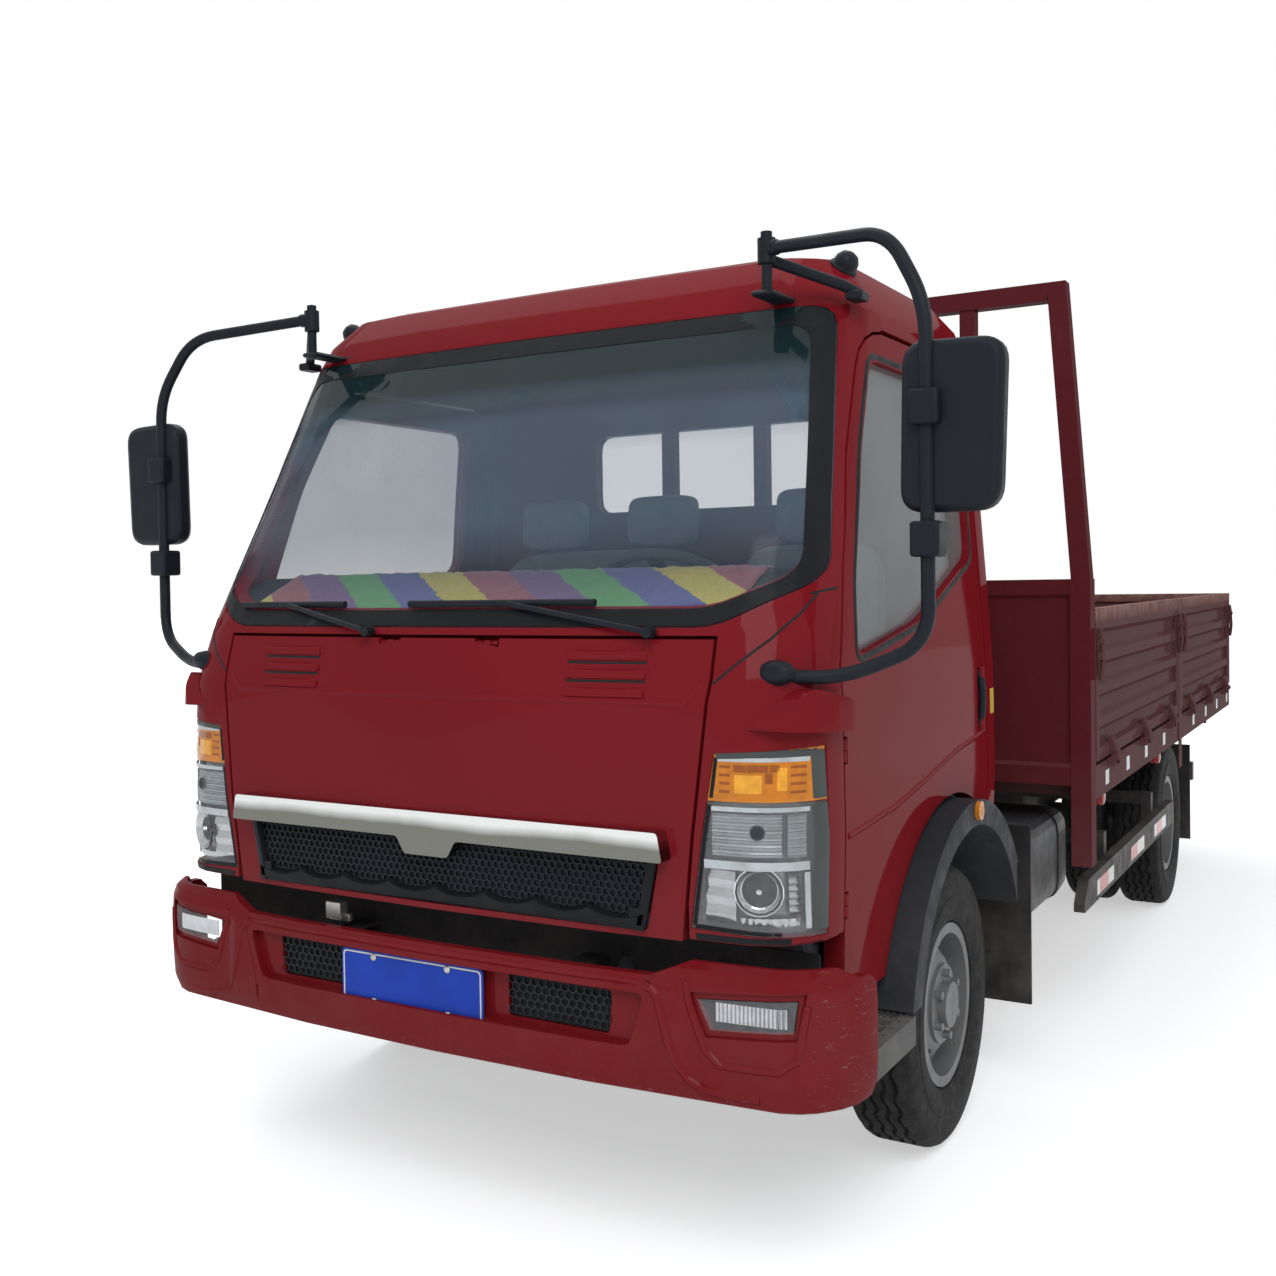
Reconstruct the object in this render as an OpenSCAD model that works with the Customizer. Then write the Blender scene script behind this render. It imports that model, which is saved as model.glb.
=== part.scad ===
// Light cab-over truck with a drop-side flatbed body.
// Millimetres, +Z up, front towards -Y, the vehicle's left side is +X.
// Every y in the modules is measured rearwards from the bumper's face;
// place() then centres the truck on the origin.

/* [Overall] */
// Bumper face to the rear hinge knuckles
overall_len = 5990; // [5900:10:6300]
// Front axle to rear axle
wheelbase = 3280; // [3200:10:3400]
// Bumper face to front axle
front_axle_y = 1130; // [1125:1:1135]

/* [Wheels] */
// Tyre outside diameter
tyre_d = 766; // [756:2:772]
// Tyre section width
tyre_w = 200; // [190:2:204]
// Rim flange diameter
rim_d = 444; // [436:2:450]
// Distance between the front tyres' middles
front_track = 1734; // [1724:2:1744]
// Distance between the middles of the twin wheels
rear_track = 1690; // [1680:2:1700]
// Middle to middle of two twin tyres
twin_pitch = 236; // [230:2:242]
// Kingpins' distance apart
kingpin_span = 1400; // [1390:2:1410]

/* [Frame] */
// Width over the frame rails
frame_w = 780; // [760:2:800]
// Height of a frame rail
rail_h = 160; // [150:2:170]
// Top of the frame above ground
frame_top = 660; // [655:1:665]
// Thickness of a rail's steel
rail_t = 8; // [6:1:10]

/* [Cab] */
// Widest half width of the cab
cab_half_w = 968; // [962:1:972]
// Rear wall's outer face
cab_rear = 1627; // [1620:1:1640]
// Top of the roof
roof_top = 2412; // [2400:2:2430]
// Thickness of doors and walls
cab_wall = 50; // [46:1:54]
// Front edge of the doors
door_front = 304; // [300:1:308]
// Rear edge of the doors
door_rear = 1495; // [1485:1:1500]
// Gap around doors and lid
seam = 8; // [7:0.5:9]
// Tilt hinge, distance behind the bumper's face
tilt_y = 120; // [118:1:122]
// Tilt hinge, height
tilt_z = 520; // [518:1:524]
// Lid hinge, height
lid_hinge_z = 1424; // [1422:0.5:1425]

/* [Bed] */
// Half width over the boards
bed_half_w = 1158; // [1150:1:1165]
// Front face of the headboard posts
bed_front = 2055; // [2040:5:2080]
// Top of the load deck
deck_top = 940; // [935:1:950]
// Height of the boards
board_h = 508; // [480:2:540]
// Thickness of a board over its ribs
board_t = 44; // [40:1:48]
// Ribs on each board
board_ribs = 4; // [3:1:6]
// Width of the middle posts along the truck
post_w = 76; // [70:2:84]
// Top of the headboard's panel
headboard_top = 1555; // [1520:5:1600]
// Top of the gantry
gantry_top = 2530; // [2450:5:2600]

/* [Hidden] */
$fn = 48;
eps = 0.3;              // seat gap between separate pieces
rear_axle_y = front_axle_y + wheelbase;
tyre_r = tyre_d / 2;
rail_x = frame_w / 2;   // outer face of a rail
rail_z0 = frame_top - rail_h;
kp_x = kingpin_span / 2;
front_x = front_track / 2;
rear_x = rear_track / 2;
arch_r = tyre_r + 187;  // outer radius of the arch trim
arch_in = tyre_r + 117; // inner radius of the arch liner
arch_out = cab_half_w + 62; // outer face of the arch trim
hinge_x = bed_half_w + 20;         // side boards' pin line
hinge_z = deck_top;                // height of the board pins
tail_pin_y = overall_len - 13;     // tailgate's pin line
tail_out = tail_pin_y - 20;        // tailgate's outer face
tail_in = tail_out - board_t;
board_z0 = deck_top + 8;
board_top = board_z0 + board_h;
boards_y0 = bed_front + post_w + 5;
boards_y1 = tail_in - 5;
mid_post_y = (boards_y0 + boards_y1) / 2;
rail_out = bed_half_w - 3;         // outer face of the bed's side rail
rail_low = deck_top - 117;         // bottom of the bed's side rail
rail_in = rail_out - 75;           // inner edge of the side rail's flanges
deck_half = rail_out - 64;         // half width of the deck sheet, inside the posts
deck_under = deck_top - 6 - eps;   // top of the rails and bearers under the sheet
platform_z = 930;                  // underside of the seat platform
floor_z = 690;                     // underside of the footwell floor
glass_top = 2240;
glass_foot = cab_half_w - 233;     // windscreen's half width at its lower edge
glass_side = cab_half_w - 38;      // at its widest
glass_head = cab_half_w - 122;     // at its upper edge
driver_x = cab_half_w - 538;       // middle of the driver's seat and of the steering wheel
lid_foot = cab_half_w - 296;       // lid's half width at the bottom
lid_head = cab_half_w - 232;       // at the top
rear_glass = cab_half_w - 548;     // rear window's half width
mouth = cab_half_w - 368;          // half width of the grille and of the bumper's intake
rear_part = cab_half_w - 118;      // where the rear wall meets the side walls
cab_clear = cab_half_w + 132;      // outside the cab, for cuts
bumper_half = cab_half_w + 82;     // half width of the bumper
frame_end = tail_out - 90;
front_spring = 555;                // half length of the springs
rear_spring = min(635, frame_end - 145 - rear_axle_y);
guard_end = rear_axle_y - tyre_r - 65;
glass_low = 1462;
lid_top = 1436;
lid_low = 768;
lid_hinge_x = 150;                 // lid hinges, out from the middle
lid_hinge_y = 85;                  // lid hinges, behind the bumper's face
bumper_top = 730;
bumper_t = 25;
beam_top = 361;                    // top of the front axle's beam
axle_tube_r = 62;                  // rear axle's tube
firewall = 60;                     // added depth of the front wall below the windscreen

// Colours
red = [0.55, 0.06, 0.08];
faded = [0.48, 0.16, 0.15];
black = [0.06, 0.06, 0.07];
grey = [0.30, 0.31, 0.33];
steel = [0.52, 0.52, 0.52];
tint = [0.45, 0.55, 0.55, 0.4];

// Placing and drawing helpers

module place() translate([0, -overall_len / 2, 0]) children();

module both_sides() { children(); mirror([1, 0, 0]) children(); }

module box(x0, x1, y0, y1, z0, z1)
  translate([x0, y0, z0]) cube([x1 - x0, y1 - y0, z1 - z0]);

// A side view (y, z) drawn from x0 to x1
module along_x(x0, x1)
  translate([x0, 0, 0]) rotate([90, 0, 90]) linear_extrude(x1 - x0) children();

// A front view (x, z) drawn from y0 to y1
module along_y(y0, y1)
  translate([0, y1, 0]) rotate([90, 0, 0]) linear_extrude(y1 - y0) children();

module rod_x(x0, x1, y, z, r) translate([x0, y, z]) rotate([0, 90, 0]) cylinder(h = x1 - x0, r = r);
module rod_y(x, y0, y1, z, r) translate([x, y0, z]) rotate([-90, 0, 0]) cylinder(h = y1 - y0, r = r);
module rod_z(x, y, z0, z1, r) translate([x, y, z0]) cylinder(h = z1 - z0, r = r);

// A round bar from one point to another
module strut(a, b, r) {
  d = b - a;
  translate(a) rotate([0, acos(d[2] / norm(d)), atan2(d[1], d[0])]) cylinder(h = norm(d), r = r);
}

// A bent round bar with a bead at each bend
module bent_bar(pts, r) {
  for (i = [0 : len(pts) - 2]) strut(pts[i], pts[i + 1], r);
  for (i = [1 : len(pts) - 2]) translate(pts[i]) sphere(r = r * 1.04);
}

function arc(cx, cy, r, a0, a1, n) =
  [for (i = [0 : n]) let(a = a0 + (a1 - a0) * i / n) [cx + r * cos(a), cy + r * sin(a)]];

// An outline with each corner rounded off over a length r
function soft(pts, r, n = 4) = let(m = len(pts)) [for (i = [0 : m - 1])
  let(p = pts[i], a = pts[(i + m - 1) % m], b = pts[(i + 1) % m],
      s = p + (a - p) / norm(a - p) * min(r, norm(a - p) / 2),
      e = p + (b - p) / norm(b - p) * min(r, norm(b - p) / 2))
  each [for (k = [0 : n]) let(t = k / n) (1 - t) * (1 - t) * s + 2 * t * (1 - t) * p + t * t * e]];

function mirrored(half) = concat(half, [for (i = [len(half) - 1 : -1 : 1]) [-half[i][0], half[i][1]]]);

// A skin over sections of equal length, each a list of (x, y) with its own z
module loft(zs, sections) {
  n = len(sections[0]);
  m = len(zs);
  polyhedron(
    points = [for (k = [0 : m - 1]) each [for (p = sections[k]) [p[0], p[1], zs[k]]]],
    faces = concat(
      [[for (i = [0 : n - 1]) i]],
      [for (k = [0 : m - 2]) each [for (i = [0 : n - 1])
        let(a = k * n + i, b = k * n + (i + 1) % n) each [[a, a + n, b + n], [a, b + n, b]]]],
      [[for (i = [n - 1 : -1 : 0]) (m - 1) * n + i]]));
}

// The cab's form

// Sections of the cab: height, front face, half width, corner radius, bow of the front
cab_levels = [
  [580, 52, cab_half_w - 10, 170, 30],
  [1000, 38, cab_half_w, 180, 32],
  [1300, 46, cab_half_w - 3, 200, 34],
  [1450, 76, cab_half_w - 12, 225, 45],
  [1850, 308, cab_half_w - 42, 215, 35],
  [2240, 535, cab_half_w - 80, 170, 22],
  [roof_top - 102, 575, cab_half_w - 106, 160, 20],
  [roof_top - 27, 650, cab_half_w - 168, 140, 15],
  [roof_top, 740, cab_half_w - 248, 120, 10]];

// One level's outline, drawn in by d, and further at the front below the windscreen
function cab_outline(L, d, fire) =
  let(w = L[2] - d, r = max(L[3] - d, 30), f = L[1] + d + (L[0] < 1446 ? fire : 0), b = L[4],
      back = cab_rear - d - (L[0] > 2250 ? (L[0] - 2250) * 0.3 : 0))
  mirrored(concat([[0, f], [(w - r) * 0.6, f + b * 0.36]],
    arc(w - r, f + b + r, r, 270, 360, 6),
    arc(w - 45, back - 45, 45, 0, 90, 2)));

// The cab's outer form drawn in by d
module cab_form(d = 0, fire = 0)
  loft([for (L = cab_levels) L[0] > 2200 ? L[0] - d : L[0]],
       [for (L = cab_levels) cab_outline(L, d, fire)]);

module cab_shell(t, fire = 0) difference() { cab_form(); cab_form(t, fire); }

// Front view of the windscreen, drawn in by d
function glass_outline(d) = soft([
  [-(glass_foot - d * 0.4), glass_low + d], [glass_foot - d * 0.4, glass_low + d],
  [glass_side - d, 1566 + d * 0.4], [glass_head - d, glass_top - d],
  [-(glass_head - d), glass_top - d], [-(glass_side - d), 1566 + d * 0.4]], 50, 3);

// Front view of the lid, grown by d
function lid_outline(d) = [
  [-(lid_foot + d), lid_low - d], [lid_foot + d, lid_low - d], [lid_head - 12 + d, 1240], [lid_head + d, 1350],
  [lid_head + d, lid_top + d], [-(lid_head + d), lid_top + d], [-(lid_head + d), 1350], [-(lid_head - 12 + d), 1240]];

// Side view of a door, grown by d
function door_outline(d) = concat(
  [[door_front - d, 600 - d], [door_front - d, 1370], [382 - d, 1590], [496 - d, 1870]],
  [for (t = [0 : 0.25 : 1]) (1 - t) * (1 - t) * [610 - d, 2090] + 2 * t * (1 - t) * [655 - d, 2180 + d]
     + t * t * [800, 2190 + d]],
  [[door_rear + d, 2194 + d], [door_rear + d, 600 - d]]);

// Side view of a door's window, drawn in by d
function window_outline(d) = soft([
  [415 + d, 1385 + d], [900, 1455 + d], [1418 - d, 1627 + d], [1418 - d, 2112 - d],
  [690 + d, 2112 - d], [560 + d, 1880], [440 + d, 1560]], 50, 3);

module door_side(d) difference() {
  polygon(door_outline(d));
  translate([front_axle_y, tyre_r]) circle(r = arch_r + 15 - d);
}

module lamp_view() polygon([[lid_head + 16, 1188], [lid_foot + 22, 800],
  [cab_clear, 783], [cab_clear, 1212]]);

// Cab body

// The space inside the cab, with a seat gap to its walls
module cab_cavity() cab_form(cab_wall + eps, firewall);

function floor_section() = [[105, 851.7], [105, 815], [235, 757], [250, floor_z], [640, floor_z],
  [640, platform_z], [1573, platform_z], [1573, platform_z + 45], [598, platform_z + 45],
  [598, floor_z + 45], [290, floor_z + 45], [275, 800], [155, 851.7]];

module cab_floor() color(grey) {
  along_x(-lid_foot - 8, lid_foot + 8) polygon(floor_section());
  intersection() {
    along_x(-cab_half_w + 73, cab_half_w - 73) polygon(floor_section());
    cab_cavity();
  }
  // tilt arms down to the hinge pins
  both_sides() difference() {
    along_x(rail_x + 36, rail_x + 66) union() {
      translate([tilt_y, tilt_z]) circle(r = 34);
      polygon([[tilt_y - 24, tilt_z + 24], [tilt_y + 20, tilt_z - 27], [400, floor_z], [262, floor_z]]);
    }
    rod_x(rail_x, rail_x + 100, tilt_y, tilt_z, 14.4);
  }
}

module cab_front() color(red) {
  difference() {
    intersection() {
      cab_shell(cab_wall, firewall);
      along_x(-cab_clear, cab_clear) polygon(concat([[-50, 775], [door_front - seam, 775]],
        [for (i = [1 : 8]) door_outline(seam)[i]],
        [[800, 2203], [800, 2244], [-50, 2244]]));
    }
    // opening for the lid, back to the firewall
    intersection() {
      along_y(-50, 300) polygon(lid_outline(seam));
      difference() { cab_form(-20); cab_form(42); }
    }
    box(-lid_foot - 18, lid_foot + 18, -50, 300, 600, 852);
    // seat and opening of the windscreen
    intersection() {
      along_y(-50, 800) polygon(glass_outline(-eps));
      difference() { cab_form(-20); cab_form(9); }
    }
    along_y(-50, 800) polygon(glass_outline(48));
    // lamp pockets
    both_sides() intersection() {
      along_y(-50, lamp_back + 1) offset(delta = 1) lamp_view();
      difference() { cab_form(-20); cab_form(42); }
    }
  }
  // the hinge pins of the doors, and those of the lid, each between two arms
  both_sides() {
    door_hinge_seats();
    rod_x(lid_hinge_x - 30, lid_hinge_x + 30, lid_hinge_y, lid_hinge_z, 4);
    for (d = [-30, 16]) {
      rod_x(lid_hinge_x + d, lid_hinge_x + d + 14, lid_hinge_y, lid_hinge_z, 6.5);
      box(lid_hinge_x + d, lid_hinge_x + d + 14, lid_hinge_y, 130, lid_hinge_z - 5, lid_hinge_z + 6);
    }
  }
}

module cab_roof() color(red) intersection() {
  cab_shell(cab_wall - 8);
  along_x(-cab_clear, cab_clear) polygon([[-50, 2244.5], [800.5, 2244.5], [800.5, 2203.5], [1700, 2203.5], [1700, 2500], [-50, 2500]]);
}

module cab_rear() color(red) difference() {
  intersection() {
    cab_shell(cab_wall);
    box(-rear_part, rear_part, door_rear + seam, 1700, platform_z + 45 + eps, 2203);
  }
  along_y(1400, 1700) polygon(soft([[-rear_glass, 1815], [rear_glass, 1815], [rear_glass, 2085], [-rear_glass, 2085]], 50, 3));
}

module cab_sides() color(red) difference() {
  intersection() {
    cab_shell(cab_wall);
    both_sides() difference() {
      box(rear_part, cab_clear, door_rear + seam, 1700, 700, 2203);
      along_x(rear_part - 50, cab_clear) translate([front_axle_y, tyre_r]) circle(r = arch_r + 1);
    }
  }
}

module cab_glass() color(tint) {
  intersection() {
    difference() { cab_form(1); cab_form(8); }
    along_y(-50, 800) polygon(glass_outline(0));
  }
  along_y(cab_rear - 30, cab_rear - 24)
    polygon(soft([[-rear_glass + eps, 1815 + eps], [rear_glass - eps, 1815 + eps],
      [rear_glass - eps, 2085 - eps], [-rear_glass + eps, 2085 - eps]], 50, 3));
}

lamp_back = 214;   // how far the lamps wrap round the corner
lamp_split = 1085; // seam between the main lamp and the indicator

module lamp_body(z0, z1) both_sides() intersection() {
  difference() { cab_form(3); cab_form(42); }
  along_y(-50, lamp_back) lamp_view();
  box(0, cab_clear + 10, -50, 330, z0, z1);
}

module headlamps() color("gainsboro") lamp_body(700, lamp_split - 2);
module indicators() color("orange") {
  lamp_body(lamp_split, 1300);
  // round markers on the arches
  both_sides() rod_x(arch_out + eps, arch_out + 12, front_axle_y + 26, tyre_r + 541, 26);
}

module corner_vanes() color(red) both_sides() intersection() {
  difference() { cab_form(-34); cab_form(-eps); }
  along_x(lid_foot + 28, cab_clear) polygon(soft([[75, 1240], [285, 1230], [290, 1296], [150, 1332]], 22, 3));
}

module wheel_arches() color(black) both_sides() {
  difference() {
    union() {
      rod_x(cab_half_w - 68, arch_out, front_axle_y, tyre_r, arch_r);
      rod_x(640, cab_half_w - 66, front_axle_y, tyre_r, arch_in + 14);
    }
    rod_x(600, cab_clear, front_axle_y, tyre_r, arch_in);
    box(600, cab_clear, 0, 2200, -300, 520);
    box(600, cab_clear, 1590, 2200, -300, 700);
  }
}

// Mirror arm: bends of the tube from the roof to the waist, x out from the cab's widest side
mirror_path = [[-239, 452, 2385], [22, 345, 2372], [122, 300, 2310], [204, 262, 2120],
  [204, 262, 1590], [182, 245, 1500], [92, 205, 1405], [-88, 150, 1362]];

module mirrors() color(black) both_sides() difference() {
  translate([cab_half_w, 0, 0]) mirror_set();
  cab_form(-eps);
}

module mirror_set() {
  bent_bar(mirror_path, 15);
  rod_z(-239, 452, 2262, 2408, 17);
  box(-300, -216, 430, 660, 2250, 2275);
  strut([-239, 452, 2350], [-73, 620, 2262], 11);
  box(-96, -53, 590, 655, 2246, 2268);
  strut([-88, 150, 1362], [-126, 205, 1362], 22);
  // head and its two clamps
  along_y(262, 322) polygon(soft([[140, 1705], [354, 1705], [368, 2068], [148, 2074]], 40, 4));
  for (z = [1610, 1890]) box(172, 236, 232, 300, z, z + 76);
}

// Depth of the windscreen's face at x, z; its bow is drawn with a kink at glass_kink
glass_kink = (cab_half_w - 237) * 0.6;
function glass_y(x, z) = 76 + (z - 1450) * 0.58 + (abs(x) < glass_kink ? 16.2 * abs(x) / glass_kink
  : 16.2 + 28.8 * (abs(x) - glass_kink) / glass_kink * 1.5);
function on_glass(x, z) = [x, glass_y(x, z) - 10.6, z];

// Wipers: pivot, middle of the blade, the blade's ends and its kink, all across the cab
wiper_table = [[-210, -glass_foot + 195, -glass_foot + 5, -glass_kink, -330],
  [glass_foot - 145, 190, -110, 0, glass_foot - 305]];

module wipers() color(black) for (w = wiper_table) {
  rod_y(w[0], glass_y(w[0], 1440) - 30, glass_y(w[0], 1440) - eps, 1453, 13);
  strut([w[0], glass_y(w[0], 1440) - 22, 1453], on_glass(w[1], 1520) + [0, -8, 0], 7, $fn = 8);
  for (k = [2, 3]) strut(on_glass(w[k], 1520), on_glass(w[k + 1], 1520), 9, $fn = 8);
}

wheel_hub = [driver_x, 560, 1510]; // middle of the steering wheel
wheel_tilt = 38;              // rake of the steering wheel

module column(r) translate(wheel_hub) rotate([-wheel_tilt, 0, 0]) translate([0, 0, -300]) cylinder(h = 290, r = r);

module dashboard() color(grey) difference() {
  intersection() {
    along_x(-cab_half_w + 88, cab_half_w - 88) polygon(soft([[100, 900], [330, 900], [410, 1130], [450, 1420],
      [455, 1560], [420, 1604], [150, 1482], [100, 1470]], 40, 3));
    cab_cavity();
  }
  column(26 + eps);
}

module steering_wheel() color(black) {
  translate(wheel_hub) rotate([-wheel_tilt, 0, 0]) {
    rotate_extrude() translate([205, 0]) circle(r = 15);
    for (a = [30, 150, 270]) rotate([0, 0, a]) translate([0, -16, -8]) cube([200, 32, 16]);
    translate([0, 0, -30]) cylinder(h = 50, r = 62);
  }
  column(26);
}

// Seats: middle of the seat across the cab, width
seat_table = [[driver_x, 500], [-330, 2 * cab_half_w - 1076]];

module seats() color("lightgrey") for (s = seat_table) {
  x0 = s[0] - s[1] / 2;
  x1 = s[0] + s[1] / 2;
  along_x(x0, x1) polygon(soft([[800, platform_z + 45 + eps], [1335.3, platform_z + 45 + eps], [1359.2, 1130], [800, 1150]], 40, 3));
  along_x(x0 + 15, x1 - 15) polygon(soft([[1341, 1010], [1466, 1010], [1556, 1660], [1446, 1690]], 50, 3));
  for (h = s[1] > 600 ? [-0.25, 0.25] : [0])
    along_x(s[0] + h * s[1] - 125, s[0] + h * s[1] + 125)
      polygon(soft([[1454, 1688], [1558, 1660], [1562, 1846], [1474, 1864]], 35, 3));
}

// Lid body

module front_panel() color(red) {
  difference() {
    intersection() {
      cab_shell(30);
      along_y(-50, 130) polygon(lid_outline(0));
    }
    along_y(-50, 130) polygon(grille_outline(0));
    // pockets behind the skin for the hinge arms
    both_sides() box(lid_hinge_x - 35, lid_hinge_x + 35, lid_hinge_y - 9, 200, lid_hinge_z - 20, 1500);
  }
  // pressed louvres near the top corners
  intersection() {
    difference() { cab_form(-5); cab_form(1); }
    for (s = [-1, 1], k = [0 : 2])
      along_y(-50, 130) translate([s * (lid_head - 254), 1314 + k * 42]) square([200, 15], center = true);
  }
  // lugs on the hinge pins
  both_sides() difference() {
    union() {
      rod_x(lid_hinge_x - 10, lid_hinge_x + 10, lid_hinge_y, lid_hinge_z, 8);
      box(lid_hinge_x - 10, lid_hinge_x + 10, lid_hinge_y - 5, lid_hinge_y + 5, lid_hinge_z - 34, lid_hinge_z);
    }
    rod_x(lid_hinge_x - 50, lid_hinge_x + 50, lid_hinge_y, lid_hinge_z, 4.3);
  }
}

// Front view of the grille opening, drawn in by d
function grille_outline(d) = soft([
  [-(mouth - 12 - d), 782 + d], [mouth - 12 - d, 782 + d], [mouth + 20 - d, 942 - d], [-(mouth + 20 - d), 942 - d]], 14, 2);

// A hexagon mesh that fills a front-view box: pitch, width of the bars
module hex_mesh(x0, x1, z0, z1, pitch, bar) {
  row = pitch * sqrt(3) / 2;
  for (j = [0 : floor((z1 - z0) / row)], i = [0 : floor((x1 - x0) / pitch)])
    translate([x0 + (i + (j % 2) / 2) * pitch, z0 + j * row])
      circle(r = (pitch - bar) / sqrt(3), $fn = 6);
}

scallops = 8;                                 // swags of the grille's lower border
scallop_w = (2 * mouth - 60) / scallops;

module front_grille() color(black) {
  along_y(62, 68) difference() {
    polygon(grille_outline(eps));
    intersection() {
      hex_mesh(-mouth + 20, mouth, 800, 930, 32, 7);
      polygon(grille_outline(16));
      union() {
        translate([-mouth, 842]) square([2 * mouth, 120]);
        for (k = [0 : scallops - 1]) translate([(k + 0.5 - scallops / 2) * scallop_w, 846]) scale([1, 0.5])
          circle(r = scallop_w * 0.49, $fn = 24);
      }
    }
  }
}

module chrome_bar() color("silver") difference() {
  along_y(14, 60) polygon(soft([[-(mouth + 52), 948], [-90, 948], [-66, 906], [66, 906], [90, 948],
    [mouth + 52, 948], [mouth + 40, 1014], [-(mouth + 40), 1014]], 8, 2));
  cab_form(-0.5);
}

// Doors

door_pin_x = cab_half_w - 6; // door hinge axis, just inside the skin
door_pin_y = door_front + 6;
door_hinges = [830, 1180];   // heights of the hinges

// The cab's half of the door hinges: a lug on an arm, and the pin
module door_hinge_seats() for (z = door_hinges) {
  rod_z(door_pin_x, door_pin_y, z - 26, z + 26, 4);
  rod_z(door_pin_x, door_pin_y, z - 26, z - 1, 7);
  box(door_pin_x - 16, door_pin_x, door_front - seam - 8, door_pin_y, z - 26, z - 1);
}

module door_body() {
  difference() {
    intersection() {
      cab_shell(cab_wall);
      along_x(lid_foot - 72, cab_clear) door_side(0);
    }
    for (z = door_hinges) box(door_pin_x - 22, cab_clear, door_front - 10, door_pin_y + 13, z - 31, z + 31);
    along_x(lid_foot - 72, cab_clear) polygon(window_outline(0));
    // handle recess
    box(cab_half_w - 14, cab_clear, 1405, 1475, 1120, 1300);
  }
  // the door's half of the hinges
  for (z = door_hinges) difference() {
    union() {
      rod_z(door_pin_x, door_pin_y, z + 1, z + 26, 7);
      box(door_pin_x - 7, door_pin_x, door_pin_y, door_pin_y + 16, z + 1, z + 26);
    }
    rod_z(door_pin_x, door_pin_y, z - 40, z + 40, 4.3);
  }
  // upright handle
  color(black) rod_z(cab_half_w - 2, 1440, 1118, 1302, 11);
}

module door_pane() intersection() {
  difference() { cab_form(20); cab_form(26); }
  along_x(lid_foot - 72, cab_clear) polygon(window_outline(eps));
}

module door_left() color(red) door_body();
module door_right() color(red) mirror([1, 0, 0]) door_body();
module door_left_glass() color(tint) door_pane();
module door_right_glass() color(tint) mirror([1, 0, 0]) door_pane();

// Bumper and lamps

// Sections of the bumper: height, drawn in from the face
bumper_levels = [[415, 44], [428, 16], [462, 3], [520, 0], [640, 0], [690, 3], [716, 12], [bumper_top, 30]];

function bumper_outline(d, back) = mirrored(concat([[0, d], [430, 10 + d], [bumper_half - 200 - d * 0.3, 44 + d]],
  arc(bumper_half - 200, 244, 200 - d, 285, 360, 5), [[bumper_half - d, back]]));

// The bumper's outer form drawn in by d, from z0 to z1 and back to a flat face
module bumper_form(d = 0, back = 266, z0 = 415, z1 = bumper_top)
  loft([for (L = bumper_levels) L[0] == 415 ? z0 : L[0] == bumper_top ? z1 : L[0]],
       [for (L = bumper_levels) bumper_outline(L[1] + d, back)]);

module bumper_shell(d = 0, t = bumper_t) difference() {
  bumper_form(d);
  bumper_form(d + t, 400, 380, bumper_top + 40);
}

module fog_view() polygon([[bumper_half - 328, 654], [bumper_half - 108, 670],
  [bumper_half - 116, 602], [bumper_half - 298, 590]]);
module intake_view() polygon(soft([[-(mouth - 40), 528], [mouth - 40, 528], [mouth, 652], [-mouth, 652]], 20, 2));
module mesh_view(d) polygon(soft([[mouth - 378 + d, 540 + d], [mouth - 102 - d, 540 + d], [mouth - 94 - d, 640 - d], [mouth - 378 + d, 640 - d]], 10, 2));

module front_bumper() color(red) {
  difference() {
    bumper_shell();
    along_y(-50, 200) intake_view();
    both_sides() along_y(-50, 300) offset(delta = 1) fog_view();
    // shallow recess round each fog lamp
    intersection() {
      difference() { bumper_form(-20); bumper_form(9); }
      both_sides() along_y(-50, 300) offset(delta = 16) fog_view();
    }
    // the top edge is lower in the middle, and at the ends under the doors
    along_y(-50, 120) polygon([[-(mouth + 100), bumper_top + 1], [-(mouth + 10), bumper_top - 36],
      [mouth + 10, bumper_top - 36], [mouth + 100, bumper_top + 1]]);
    along_x(-bumper_half - 50, bumper_half + 50) polygon([[160, bumper_top + 1], [190, bumper_top - 22], [236, bumper_top - 26], [270, bumper_top - 52], [300, bumper_top - 52],
      [300, bumper_top + 60], [160, bumper_top + 60]]);
  }
  // recessed intake panel behind the opening
  difference() {
    along_y(20, 62) polygon([[-(mouth + 40), 505], [mouth + 40, 505], [mouth + 60, 672], [-(mouth + 60), 672]]);
    along_y(10, 42) intake_view();
    both_sides() along_y(0, 100) mesh_view(0);
  }
  both_sides() box(rail_x - 60, rail_x - 2, 61, 100, 530, 650);
}

module bumper_grilles() color(black) both_sides() along_y(44, 50) difference() {
  mesh_view(eps);
  intersection() { hex_mesh(222, 520, 552, 640, 34, 8); mesh_view(9); }
}

module lamps() {
  // fog lamps
  color("white") both_sides() {
    intersection() {
      bumper_shell(4, 24);
      along_y(-50, 300) fog_view();
    }
  }
  // tail lamps and side markers
  color("crimson") both_sides() {
    box(bed_half_w - 458, bed_half_w - 118, overall_len - 66, overall_len - 40, rail_low - 110, rail_low - eps);
    for (y = [mid_post_y - 420, boards_y0 + 250]) rod_x(rail_in + 20, rail_out - 23, y, rail_low - 28.3, 28);
  }
}

// Running gear

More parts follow.
